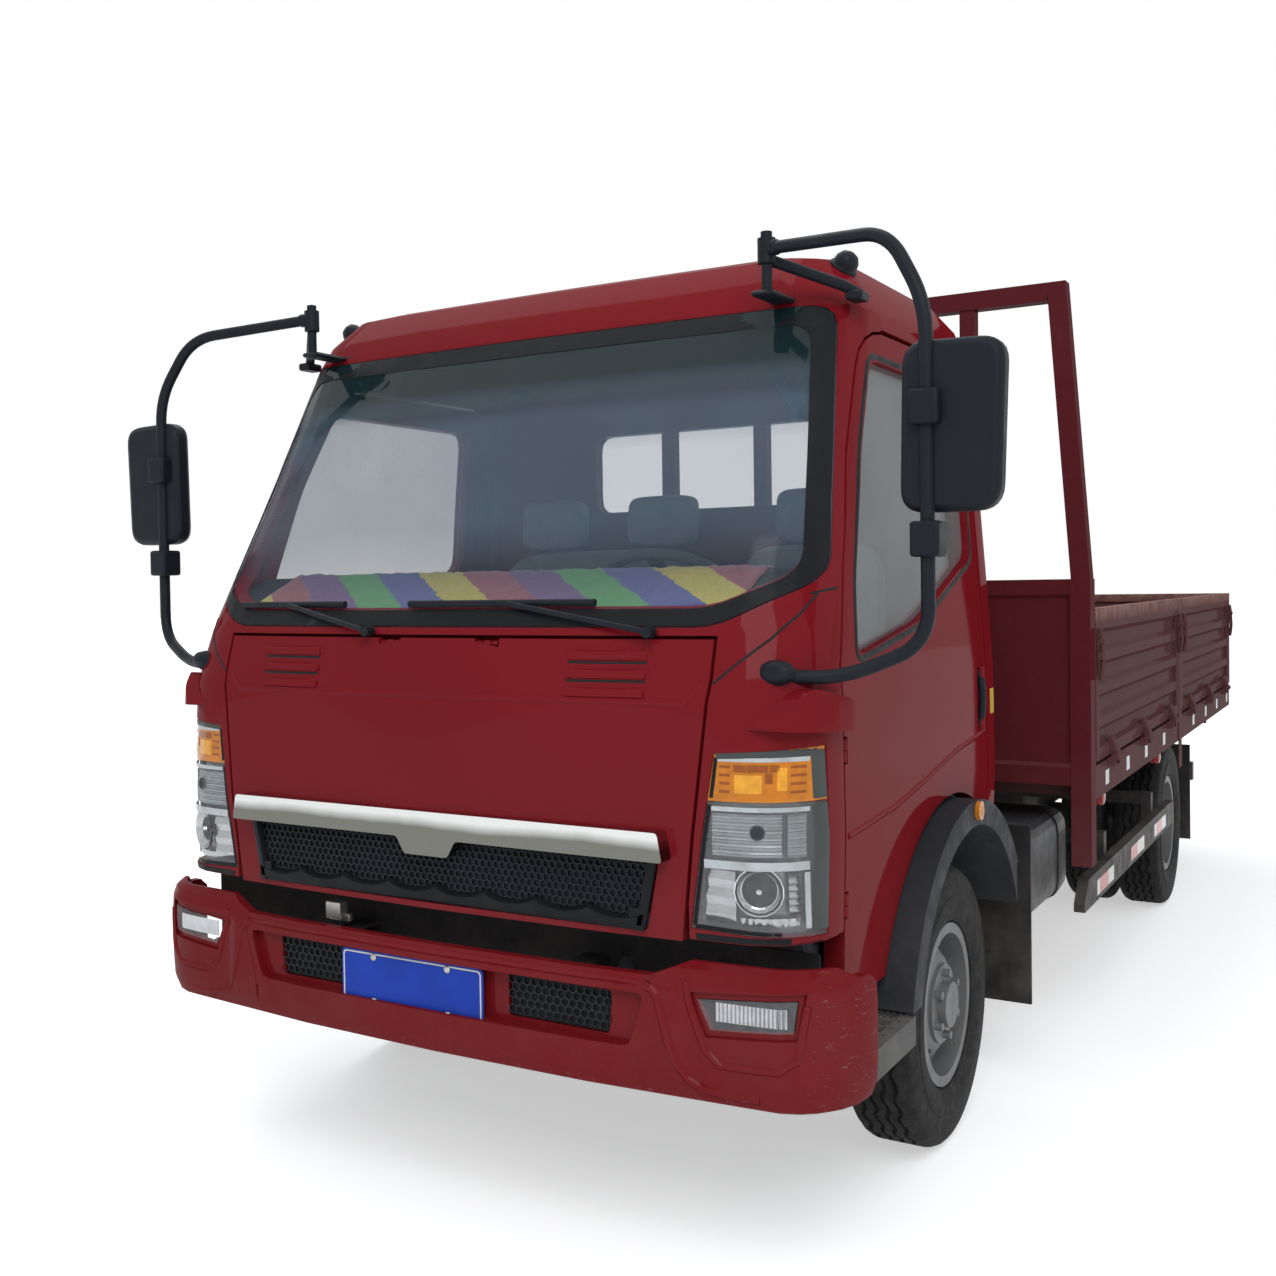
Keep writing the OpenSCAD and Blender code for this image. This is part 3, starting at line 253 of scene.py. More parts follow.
def bumper_paint():
    f = paint("bumper_red", (0.19, 0.0066, 0.0105), 0.28, 0.16, 0.0, 0.06)
    # scuffs at the corner of the vehicle's left side, chips along the lower edge
    near = f.span(f.axes[0], 0.93, 1.02)
    lines = f.span(f.noise(1.0, 7.0, 0.8, f.stretched(30, 30, 130)), 0.6, 0.66)
    f.layer(f.times(f.times(near, lines), 0.4), (0.5, 0.44, 0.42))
    low = f.span(f.axes[2], 0.47, 0.42)
    chips = f.span(f.noise(55, 6.0, 0.75), 0.58, 0.64)
    f.layer(f.times(f.times(low, chips), 0.3), (0.3, 0.2, 0.19))
    return f.m


def bed_paint():
    f = paint("bed_red_faded", (0.132, 0.056, 0.054), 0.55, 0.04, 0.12, 0.12)
    top = f.span(f.axes[2], 1.40, 1.45)
    worn = f.span(f.noise(14, 6.0, 0.7), 0.35, 0.6, 0.1, 0.75)
    f.layer(f.times(top, worn), (0.40, 0.22, 0.18))
    f.layer(f.span(f.noise(38, 7.0, 0.75), 0.66, 0.74, 0.0, 0.4), (0.07, 0.025, 0.018))
    f.bump(f.noise(60, 6.0, 0.7), 0.08, 0.001)
    return f.m


def post_paint():
    f = paint("headboard_red", (0.115, 0.018, 0.023), 0.42, 0.06, 0.06, 0.2)
    f.bump(f.noise(90, 4.0, 0.6), 0.1, 0.001)
    return f.m


def plastic(name, color, rough, dust=0.3, grain=900):
    f = Finish(name, color, rough, Specular_IOR_Level=0.14)
    f.shade(f.noise(4, 4.0), 0.85, 1.15)
    f.layer(f.span(f.noise(60, 6.0, 0.7), 0.62, 0.78, 0.0, 0.1), (0.16, 0.15, 0.14))
    f.dirt(0.2, 0.95, DUST, dust)
    f.rough(f.noise(20, 4.0), rough * 0.85, min(1.0, rough * 1.25))
    f.bump(f.noise(grain, 2.0), 0.03, 0.0004)
    return f.m


def tank_coat():
    """Grey tank with black bands."""
    f = Finish("tank_coat", (0.06, 0.064, 0.07), 0.5, Specular_IOR_Level=0.4)
    f.shade(f.noise(4, 4.0), 0.85, 1.15)
    for y in (1902, 2362):
        away = f.math("ABSOLUTE", f.math("SUBTRACT", f.axes[1], y / 1000 - HALF))
        f.layer(f.math("LESS_THAN", away, 0.0225), (0.014, 0.014, 0.016))
    f.dirt(0.35, 0.8, DUST, 0.45)
    f.rough(f.noise(20, 4.0), 0.42, 0.65)
    f.bump(f.noise(200, 3.0), 0.1, 0.0008)
    return f.m


def rubber():
    f = Finish("tyre_rubber", (0.016, 0.0165, 0.018), 0.8, Specular_IOR_Level=0.15)
    f.shade(f.noise(5, 5.0), 0.75, 1.25)
    f.layer(f.span(f.noise(24, 7.0, 0.7), 0.42, 0.68, 0.05, 0.4), (0.10, 0.092, 0.084))
    f.bump(f.noise(160, 5.0, 0.6), 0.25, 0.001)
    return f.m


def steel(name, color, rough, metal, rust):
    f = Finish(name, color, rough, Metallic=metal)
    f.shade(f.noise(6, 4.0), 0.8, 1.15)
    f.layer(f.span(f.noise(16, 7.0, 0.7), 0.48, 0.72, 0.0, 0.55), (0.19, 0.17, 0.15))
    f.layer(f.span(f.noise(33, 8.0, 0.75), 0.62, 0.72, 0.0, rust), (0.16, 0.07, 0.035))
    f.rough(f.noise(25, 5.0), rough * 0.8, min(1.0, rough * 1.3))
    f.bump(f.noise(240, 4.0), 0.12, 0.0008)
    return f.m


def chrome():
    """Bright bar with a painted reflection: its lower part darkens to a dark band that stands in for the
    ground reflected in it.
    """
    f = Finish("chrome", (0.5, 0.51, 0.5), 0.08, Metallic=1.0)
    # painted reflection: the bar turns dark below a wavy line near its top
    wave = f.times(f.math("SUBTRACT", f.noise(1.0, 3.0, 0.5, f.stretched(3.5, 1, 1)), 0.5), 0.03)
    f.layer(f.span(f.plus(f.axes[2], wave), 1.0, 0.975, 0.0, 0.9), (0.085, 0.082, 0.068))
    f.rough(f.noise(30, 5.0), 0.05, 0.16)
    return f.m


def mirror_silver(name):
    f = Finish(name, (0.48, 0.49, 0.5), 0.14, Metallic=1.0)
    f.shade(f.noise(40, 3.0), 0.8, 1.0)
    f.rough(f.noise(60, 3.0), 0.08, 0.24)
    return f.m


def clear(name, color, alpha, rough=0.04):
    f = Finish(name, color, rough, Specular_IOR_Level=0.4)
    f.shade(f.noise(2, 2.0), 0.9, 1.1)
    f.rough(f.noise(4, 2.0), rough * 0.6, rough * 1.5)
    link(f.t, f.span(f.noise(2, 2.0), 0.3, 0.7, alpha, alpha + 0.05), f.b.inputs["Alpha"])
    return f.m


def screen_glass():
    """Blue-grey windscreen with a painted reflection in its colour, fainter low down and in the rear window,
    with a dark tint band at the top.
    """
    f = Finish("windscreen_glass", (0.15, 0.23, 0.31), 0.03, Specular_IOR_Level=0.35)
    f.shade(f.noise(1.5, 2.0), 0.9, 1.1)
    rear = f.math("GREATER_THAN", f.axes[1], -1.9)
    # painted reflection: the blue-grey colour, shown through the glass's opacity, stands in for the
    # reflection on the glass
    painted_reflection = f.span(f.noise(1.2, 2.0), 0.3, 0.7, 0.22, 0.3)
    painted_reflection = f.times(painted_reflection, f.span(f.axes[2], 1.58, 1.72, 0.3, 1.0))
    band = f.span(f.axes[2], 2.0, 2.11)
    f.layer(band, (0.012, 0.03, 0.034))
    # opacity from the painted reflection and the dark tint band
    film = f.math("MAXIMUM", painted_reflection, f.times(band, 0.78))
    film = f.times(film, f.math("SUBTRACT", 1.0, f.times(rear, 0.75)))
    f.rough(f.noise(4, 2.0), 0.02, 0.05)
    link(f.t, film, f.b.inputs["Alpha"])
    return f.m


def lens(name, color, alpha):
    f = Finish(name, color, 0.12, Specular_IOR_Level=0.35)
    f.shade(f.noise(45, 3.0), 0.85, 1.12)
    f.bump(f.noise(180, 2.0), 0.1, 0.0008)
    link(f.t, f.span(f.noise(30, 4.0), 0.3, 0.7, alpha * 0.92, min(1.0, alpha * 1.05)), f.b.inputs["Alpha"])
    return f.m


def fabric(name, color):
    f = Finish(name, color, 0.9, Sheen_Weight=0.4, Sheen_Roughness=0.4, Specular_IOR_Level=0.2)
    f.shade(f.noise(18, 5.0), 0.85, 1.1)
    threads = {"Vector": f.at, "Scale": 150.0, "Distortion": 0.6}
    warp, weft = [add(f.t, "ShaderNodeTexWave", threads, bands_direction=way).outputs[1] for way in "XZ"]
    f.bump(f.times(warp, weft), 0.35, 0.0012)
    return f.m


def mat_stripes():
    """Diagonal stripes of a deep-pile mat, in five repeating colours."""
    f = Finish("mat_stripes", (0.1, 0.1, 0.1), 0.95, Sheen_Weight=0.6, Sheen_Roughness=0.5,
               Specular_IOR_Level=0.1)
    lean = f.plus(f.axes[0], f.times(f.plus(f.axes[1], f.axes[2]), 0.85))
    fuzz = f.times(f.math("SUBTRACT", f.noise(55, 5.0, 0.7), 0.5), 0.05)
    turn = f.math("FRACT", f.math("DIVIDE", f.plus(f.plus(lean, fuzz), 5.0), 0.74))
    blue, yellow, red = (0.05, 0.065, 0.33), (0.62, 0.52, 0.035), (0.34, 0.035, 0.07)
    purple, green = (0.14, 0.035, 0.22), (0.05, 0.36, 0.06)
    stripes = add(f.t, "ShaderNodeValToRGB", {0: turn})
    stops = stripes.color_ramp.elements
    stripes.color_ramp.interpolation = "CONSTANT"
    stops.remove(stops[1])
    for i, color in enumerate((blue, yellow, red, purple, green)):
        stop = stops.new(0.2 * i) if i else stops[0]
        stop.color = (*color, 1)
    link(f.t, stripes.outputs[0], f.b.inputs["Base Color"])
    f.shade(f.noise(130, 5.0, 0.7), 0.7, 1.3)
    f.bump(f.noise(240, 5.0, 0.7), 0.8, 0.006)
    return f.m


def tape(name, pitch, a, b):
    """Reflective tape in alternating blocks along the truck."""
    f = Finish(name, a, 0.35, Coat_Weight=0.4)
    block = f.math("FRACT", f.math("DIVIDE", f.plus(f.axes[1], 10.0), pitch))
    f.layer(f.math("GREATER_THAN", block, 0.5), b)
    f.shade(f.noise(40, 5.0), 0.75, 1.1)
    cells = add(f.t, "ShaderNodeTexVoronoi", {"Vector": f.at, "Scale": 320.0}).outputs[0]
    f.bump(cells, 0.2, 0.0008)
    return f.m


def flat_sign(name, color, scuff=0.25):
    f = Finish(name, color, 0.4, Specular_IOR_Level=0.15)
    f.shade(f.noise(10, 4.0), 0.85, 1.1)
    f.layer(f.span(f.noise(50, 6.0, 0.7), 0.6, 0.75, 0.0, scuff), (0.3, 0.28, 0.26))
    f.bump(f.noise(300, 3.0), 0.08, 0.0006)
    return f.m


RED = paint("cab_red", (0.205, 0.009, 0.014), 0.3, 0.16, 0.0, 0.1).m
BUMPER, BED, POST = bumper_paint(), bed_paint(), post_paint()
BLACK = plastic("black_plastic", (0.010, 0.013, 0.018), 0.48, 0.1)
ARCH = plastic("arch_plastic", (0.026, 0.030, 0.036), 0.6, 0.25)
STEP = plastic("step_plastic", (0.11, 0.115, 0.115), 0.7, 0.5)
INSIDE = plastic("cabin_plastic", (0.07, 0.08, 0.095), 0.7, 0.0)
DASH = plastic("dash_plastic", (0.045, 0.05, 0.056), 0.6, 0.0)
TANK = tank_coat()
CHASSIS = plastic("chassis_black", (0.02, 0.02, 0.022), 0.55, 0.5, 300)
CAST = steel("cast_iron", (0.12, 0.115, 0.11), 0.7, 0.4, 0.5)
RIM = steel("rim_steel", (0.19, 0.193, 0.195), 0.55, 0.25, 0.2)
ZINC = steel("zinc_steel", (0.45, 0.44, 0.42), 0.4, 0.8, 0.3)
RUBBER = rubber()
FLAP = plastic("flap_rubber", (0.017, 0.017, 0.018), 0.75, 0.35, 200)
CHROME = chrome()
SILVER = mirror_silver("lamp_silver")
SCREEN = screen_glass()
PANE = clear("door_glass", (0.32, 0.37, 0.38), 0.3)
BORDER = plastic("glass_border", (0.008, 0.009, 0.011), 0.5, 0.0, 500)
SEAL = plastic("rubber_seal", (0.018, 0.019, 0.021), 0.6, 0.05, 300)
CLEAR = lens("lamp_clear", (0.6, 0.63, 0.65), 0.1)
AMBER = lens("lamp_amber", (0.78, 0.25, 0.008), 0.8)
AMBER_DEEP = lens("lamp_amber_deep", (0.36, 0.085, 0.004), 0.95)
AMBER_LIGHT = lens("lamp_amber_light", (0.95, 0.42, 0.03), 0.95)
RIPPLE = steel("lamp_ripple", (0.46, 0.49, 0.5), 0.35, 0.35, 0.0)
HOUSING = steel("lamp_housing", (0.19, 0.2, 0.2), 0.32, 0.6, 0.0)
BEZEL = plastic("lamp_bezel", (0.07, 0.078, 0.075), 0.45, 0.1)
RUBY = lens("lamp_red", (0.38, 0.012, 0.012), 0.93)
WEAVE = fabric("seat_weave", (0.36, 0.37, 0.40))
STRIPES = mat_stripes()
WHITE = flat_sign("white_film", (0.72, 0.72, 0.7))
YELLOW = flat_sign("yellow_film", (0.62, 0.42, 0.03))
BLUE = flat_sign("plate_blue", (0.012, 0.055, 0.44), 0.06)
TAPE = tape("reflective_tape", 0.30, (0.5, 0.03, 0.03), (0.68, 0.67, 0.64))
MIRROR = mirror_silver("mirror_glass")

node_finish = {
    CHASSIS: "frame side_guards",
    CAST: "leaf_springs front_axle rear_axle driveline knuckle_left knuckle_right",
    ZINC: "tie_rod",
    TANK: "fuel_tank",
    BLACK: "battery_box mirrors wipers bumper_grilles front_grille",
    BUMPER: "front_bumper",
    STEP: "cab_steps",
    FLAP: "mudflaps",
    BED: "bed_floor bed_posts tailgate board_left_front board_left_rear board_right_front board_right_rear",
    POST: "headboard",
    INSIDE: "cab_floor",
    DASH: "dashboard steering_wheel",
    RED: "cab_front cab_roof cab_rear cab_sides corner_vanes front_panel door_left door_right",
    ARCH: "wheel_arches",
    SCREEN: "cab_glass",
    PANE: "door_left_glass door_right_glass",
    CHROME: "chrome_bar",
    CLEAR: "headlamps lamps",
    AMBER: "indicators",
    WEAVE: "seats",
    RUBBER: "front_left_tyre front_right_tyre rear_left_tyres rear_right_tyres",
    RIM: "front_left_rim front_right_rim rear_left_rims rear_right_rims",
}
for mat, names in node_finish.items():
    for n in names.split():
        me = nodes[n].data
        me.materials.clear()
        me.materials.append(mat)
        if mat in (RED, BUMPER):
            me.shade_smooth()
            nodes[n].modifiers.new("joined_faces", "WELD").merge_threshold = 0.0001
            nodes[n].modifiers.new("hard_edges", "EDGE_SPLIT").split_angle = math.radians(26)
            nodes[n].modifiers.new("even_normals", "WEIGHTED_NORMAL")


# Shape helpers

trees = {}


def sight(node, view, a, b):
    """What a line from the front (x, z), a side (y, z) or the top (x, y) meets of a node, if anything."""
    if node not in trees:
        me = nodes[node].data
        faces = [list(p.vertices) for p in me.polygons]
        trees[node] = BVHTree.FromPolygons([v.co.copy() for v in me.vertices], faces)
    a, b = a / 1000, b / 1000
    start, way = {
        "front": ((a, -9, b), (0, 1, 0)),
        "left": ((9, a - HALF, b), (-1, 0, 0)),
        "right": ((-9, a - HALF, b), (1, 0, 0)),
        "top": ((a, b - HALF, 9), (0, 0, -1)),
    }[view]
    hit, normal, _, _ = trees[node].ray_cast(Vector(start), Vector(way))
    if hit is None:
        return None
    return hit, -normal if normal.dot(Vector(way)) > 0 else normal


def cast(node, view, a, b, lift=0.0):
    """The point of a node behind a place of a view, lifted off it in mm, and its normal."""
    seen = sight(node, view, a, b)
    if seen is None:
        raise ValueError(f"no surface of {node} at {view} {a:.0f} {b:.0f}")
    return seen[0] + seen[1] * lift / 1000, seen[1]


def from_bm(name, bm, mat, body, smooth=True, bevel=0.0, angle=40):
    """A finished piece that rides on a body, its edges sharp from an angle in degrees on."""
    bmesh.ops.remove_doubles(bm, verts=bm.verts, dist=1e-6)
    bmesh.ops.recalc_face_normals(bm, faces=bm.faces)
    bm.normal_update()
    for e in bm.edges:
        e.smooth = len(e.link_faces) == 2 and e.calc_face_angle(0) < math.radians(angle)
    for f in bm.faces:
        f.smooth = smooth
    me = bpy.data.meshes.new(name)
    bm.to_mesh(me)
    bm.free()
    me.materials.append(mat)
    o = bpy.data.objects.new(name, me)
    scene.collection.objects.link(o)
    if bevel:
        b = o.modifiers.new("edges", "BEVEL")
        b.width = bevel / 1000
        b.segments = 2
        b.limit_method = "ANGLE"
    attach(o, body)
    return o


def rect(x0, x1, z0, z1):
    return [(x0, z0), (x1, z0), (x1, z1), (x0, z1)]


def mirrored(s, points):
    """Points of one side's front view, put on the side with that sign."""
    return [(s * x, z) for x, z in points]


def add_box(bm, x0, x1, y0, y1, z0, z1):
    lo, hi = at(min(x0, x1), y0, z0), at(max(x0, x1), y1, z1)
    r = bmesh.ops.create_cube(bm, size=1)
    m = Matrix.Translation((lo + hi) / 2) @ Matrix.Diagonal((*(hi - lo), 1))
    bmesh.ops.transform(bm, matrix=m, verts=r["verts"])


def boxes(name, mat, body, bevel, rows):
    """A piece made of boxes with eased edges. Rows: x0, x1, y0, y1, z0, z1."""
    bm = bmesh.new()
    for row in rows:
        add_box(bm, *row)
    from_bm(name, bm, mat, body, bevel=bevel)


def add_ring(bm, centre, side, other, r, sides):
    turns = [2 * math.pi * k / sides for k in range(sides)]
    return [bm.verts.new(centre + r / 1000 * (math.cos(a) * side + math.sin(a) * other)) for a in turns]


def loft(bm, rings):
    """A solid through rings of points with the same number of corners, closed at both ends."""
    n = len(rings[0])
    for a, b in zip(rings, rings[1:]):
        for k in range(n):
            bm.faces.new((a[k], a[(k + 1) % n], b[(k + 1) % n], b[k]))
    bm.faces.new(rings[0][::-1])
    bm.faces.new(rings[-1])


def add_tube(bm, points, r, sides=12):
    """A round bar through points given in metres, its bends rounded by the caller."""
    rings, n = [], len(points)
    side = None
    for i, p in enumerate(points):
        way = (points[min(i + 1, n - 1)] - points[max(i - 1, 0)]).normalized()
        if side is None:
            side = way.orthogonal().normalized()
        side = (side - way * side.dot(way)).normalized()
        rings.append(add_ring(bm, p, side, way.cross(side), r, sides))
    loft(bm, rings)


def add_lathe(bm, profile, centre, axis, sides=32):
    """Turns (along, radius) points in mm round an axis through a centre in metres."""
    axis = Vector(axis).normalized()
    side = axis.orthogonal().normalized()
    other = axis.cross(side)
    rings = []
    for along, r in profile:
        middle = centre + axis * along / 1000
        rings.append(add_ring(bm, middle, side, other, r, sides) if r > 0.01 else [bm.verts.new(middle)])
    for a, b in zip(rings, rings[1:]):
        for k in range(sides):
            j = (k + 1) % sides
            quad = [a[k % len(a)], a[j % len(a)], b[j % len(b)], b[k % len(b)]]
            bm.faces.new(list(dict.fromkeys(quad)))
    for ring, flip in ((rings[0], True), (rings[-1], False)):
        if len(ring) > 2:
            bm.faces.new(ring[::-1] if flip else ring)


def shell(bm, grid, back, loop=False):
    """A closed thin sheet from rows of (point, normal), its back sunk by mm.

    The last row of a loop joins its first."""
    front = [[bm.verts.new(p) for p, n in row] for row in grid]
    rear = [[bm.verts.new(p - n * back / 1000) for p, n in row] for row in grid]
    rows, cols = len(grid), len(grid[0])
    for i in range(rows if loop else rows - 1):
        j = (i + 1) % rows
        for k in range(cols - 1):
            bm.faces.new((front[i][k], front[i][k + 1], front[j][k + 1], front[j][k]))
            bm.faces.new((rear[i][k], rear[j][k], rear[j][k + 1], rear[i][k + 1]))
        for k in (0, cols - 1):
            bm.faces.new((front[i][k], front[j][k], rear[j][k], rear[i][k]))
    if not loop:
        for i in (0, rows - 1):
            for k in range(cols - 1):
                bm.faces.new((front[i][k], front[i][k + 1], rear[i][k + 1], rear[i][k]))


def prism(bm, outline, y0, y1):
    """A front-view outline made into a solid between two depths."""
    front, back = [[bm.verts.new(at(p.x, y, p.y)) for p in outline] for y in (y0, y1)]
    bm.faces.new(front)
    bm.faces.new(back[::-1])
    for i in range(len(outline)):
        j = (i + 1) % len(outline)
        bm.faces.new((front[i], back[i], back[j], front[j]))


def add_patch(bm, node, view, corners, nu, nv, lift, back=2.0):
    """A sheet laid on a node between four corners of a view, its lift a number or a function of (u, v)."""
    a, b, c, d = [Vector(p) for p in corners]
    grid = []
    for i in range(nu + 1):
        row = []
        for j in range(nv + 1):
            u, v = i / nu, j / nv
            p = (1 - v) * ((1 - u) * a + u * b) + v * ((1 - u) * d + u * c)
            row.append(cast(node, view, p.x, p.y, lift(u, v) if callable(lift) else lift))
        grid.append(row)
    shell(bm, grid, back if callable(lift) else back + max(lift, 0))


def dense(points, step):
    """An open path with more points, about a step apart."""
    out = []
    for a, b in zip(points, points[1:]):
        a, b = Vector(a), Vector(b)
        n = max(1, int((b - a).length / step))
        out += [a + (b - a) * i / n for i in range(n)]
    return out + [Vector(points[-1])]


def dense_loop(points, per):
    """A closed outline with each of its sides cut in as many parts."""
    n = len(points)
    return [points[i] + (points[(i + 1) % n] - points[i]) * k / per for i in range(n) for k in range(per)]


def add_bead(bm, node, view, points, width, lift, sink=2.0, step=25.0):
    """A raised line along a path of a view: a low ridge of that width and height on the node."""
    placed = [cast(node, view, p.x, p.y) for p in dense(points, step)]
    section = ((-0.5, -sink), (-0.5, 0.1), (-0.22, lift), (0.22, lift), (0.5, 0.1), (0.5, -sink))
    rings, n = [], len(placed)
    for i, (p, normal) in enumerate(placed):
        way = (placed[min(i + 1, n - 1)][0] - placed[max(i - 1, 0)][0]).normalized()
        side = way.cross(normal).normalized() * width / 1000
        rings.append([bm.verts.new(p + side * k + normal * h / 1000) for k, h in section])
    loft(bm, rings)


def corner(a, p, b, r, n):
    """Points of a bend at p between a and b, rounded off over a length r."""
    s = p + (a - p).normalized() * min(r, (a - p).length / 2)
    e = p + (b - p).normalized() * min(r, (b - p).length / 2)
    return [(1 - t) ** 2 * s + 2 * t * (1 - t) * p + t * t * e for t in (k / n for k in range(n + 1))]


def softened(points, r, n=4):
    """A closed outline with rounded corners."""
    pts = [Vector(p) for p in points]
    return [q for i, p in enumerate(pts) for q in corner(pts[i - 1], p, pts[(i + 1) % len(pts)], r, n)]


def bent(points, r, n=5):
    """An open path in metres with its bends rounded off over r mm."""
    bends = [q for a, p, b in zip(points, points[1:], points[2:]) for q in corner(a, p, b, r / 1000, n)]
    return [points[0]] + bends + [points[-1]]


# Windscreen, windows and seams

GLASS_LOW, GLASS_TOP = 1462, 2240


def glass_outline(d, low=0.0, top=0.0):
    """Front view of the windscreen drawn in by d, and by more at the bottom and top."""
    foot = (735 - d * 0.4, GLASS_LOW + d + low)
    waist = (930 - d, 1566 + d * 0.4 + low * 0.6)
    half = [foot, waist, (846 - d, GLASS_TOP - d - top)]
    return softened(half + mirrored(-1, half[::-1]), 55, 6)


def windscreen():
    # long straight runs get more steps, so that the border follows the bowed glass
    outer, inner = [dense_loop(o, 8) for o in (glass_outline(3), glass_outline(44, -2, 6))]
    rows = [[cast("cab_glass", "front", *(a + (b - a) * k / 4), 1.8) for k in range(5)]
            for a, b in zip(outer, inner)]
    bm = bmesh.new()
    shell(bm, rows, 1.5, True)
    from_bm("windscreen_border", bm, BORDER, "cab")
    # dark V of tubes inside the top corners of the glass: a painted reflection of the mirror arms
    bm = bmesh.new()
    for s, _ in SIDES:
        foot = at(s * 800, 470, 1975)
        add_tube(bm, [at(s * 640, 560, 2190), at(s * 742, 500, 2050), foot], 15)
        add_tube(bm, [at(s * 815, 590, 2190), at(s * 806, 520, 2060), foot], 17)
        add_lathe(bm, [(-16, 17), (16, 17)], at(s * 800, 470, 1968), (0, 0, 1), 12)
    from_bm("painted_arm_reflections", bm, BLACK, "cab")
    # mirror holder on the glass
    boxes("glass_holder", BLACK, "cab", 4, [(-32, 32, 452, 466, 2060, 2090)])


def window_outline(d):
    return softened([(415 + d, 1385 + d), (900, 1455 + d), (1418 - d, 1627 + d), (1418 - d, 2112 - d),
                     (690 + d, 2112 - d), (560 + d, 1880), (440 + d, 1560)], 50, 4)


def door_trim():
    for s, side in SIDES:
        node, body = f"door_{side}", f"{side}_door"
        bm = bmesh.new()
        loop = dense_loop(window_outline(-12), 4)
        add_bead(bm, node, side, loop + loop[:1], 16, 3.0, 6.0, 400)
        from_bm(f"{side}_window_seal", bm, SEAL, body)
        # handle in its recess
        boxes(f"{side}_handle_recess", BLACK, body, 3, [(s * 940, s * 956, 1404, 1476, 1118, 1302)])
        bm = bmesh.new()
        bow = [(955, 1128), (966, 1150), (970, 1210), (966, 1270), (955, 1292)]
        add_tube(bm, bent([at(s * x, 1440, z) for x, z in bow], 25), 12.5, 14)
        add_lathe(bm, [(-3, 13), (3, 13), (5, 9)], at(s * 957, 1440, 1150), (s, 0, 0), 16)
        from_bm(f"{side}_handle", bm, BLACK, body)
        # pressed line along the lower door
        bm = bmesh.new()
        crease = [(320, 985), (640, 1005), (900, 1040), (1180, 1085), (1480, 1110)]
        add_bead(bm, node, side, crease, 16, 3.0)
        from_bm(f"{side}_door_crease", bm, RED, body)
        bm = bmesh.new()
        add_patch(bm, "cab_sides", side, rect(1540, 1580, 1155, 1230), 2, 2, 0.8)
        from_bm(f"{side}_yellow_film", bm, YELLOW, "cab")


def front_lines():
    """Pressed line and air-slot lips of the lid with a painted shadow line under each lip, dark joints of the
    corner panels, domes on the roof.
    """
    louvres = [(s * 482, 1314 + 42 * k) for s in (1, -1) for k in range(3)]
    bm = bmesh.new()
    add_bead(bm, "front_panel", "front", [(-716, 1346), (-676, 1296), (676, 1296), (716, 1346)], 16, 2.6)
    for x, z in louvres:
        add_louvre(bm, x, z)
    from_bm("lid_pressings", bm, RED, "lid")
    # a dark line under each louvre lip: painted shadow
    bm = bmesh.new()
    for x, z in louvres:
        add_bead(bm, "front_panel", "front", [(x - 100, z - 15), (x + 100, z - 15)], 6, 1.2, 2, 8)
    from_bm("louvre_shadows", bm, SEAL, "lid")
    bm = bmesh.new()
    seam = [(745, 1340), (800, 1388), (855, 1436), (895, 1486), (918, 1534)]
    for s, _ in SIDES:
        for path in (seam, [(906, 1534), (940, 1546)]):
            add_bead(bm, "cab_front", "front", mirrored(s, path), 6, 1.6, 2, 8)
    from_bm("corner_joints", bm, SEAL, "cab")
    bm = bmesh.new()
    dome = [(-8, 38), (4, 38), (8, 33), (24, 31), (38, 22), (44, 9), (45, 0)]
    for s, _ in SIDES:
        add_lathe(bm, dome, *cast("cab_roof", "top", s * 812, 748), 28)
    from_bm("roof_domes", bm, BLACK, "cab")


def add_louvre(bm, x, z):
    """A pressed lip over an air slot of the lid."""
    lip = ((-13, 0.3), (-8.5, 5.4), (-2, 7.0), (4, 7.0), (8.5, 5.4), (12, 0.3))
    rows = []
    for i in range(13):
        u = -108 + 216 * i / 12
        p, n = lid_point(x + u, z)
        swell = 1 - (abs(u) / 108) ** 6
        rows.append([(p + Vector((0, 0, dz / 1000)) + n * h * swell / 1000, n) for dz, h in lip])
    shell(bm, rows, 3.0)


def lid_point(x, z):
    """A point of the lid's face level with z, taken beside the slots so that it never falls into one."""
    below, above = 1285, 1410
    a = cast("front_panel", "front", x, below)
    b = cast("front_panel", "front", x, above)
    return a[0] + (b[0] - a[0]) * (z - below) / (above - below), a[1]


ARM_TOP = (729, 452, 2364)
MIRROR_ARM = [ARM_TOP, (1078, 303, 2322), (1172, 262, 2148), (1172, 262, 1424), (1000, 199, 1350),
              (862, 150, 1357)]


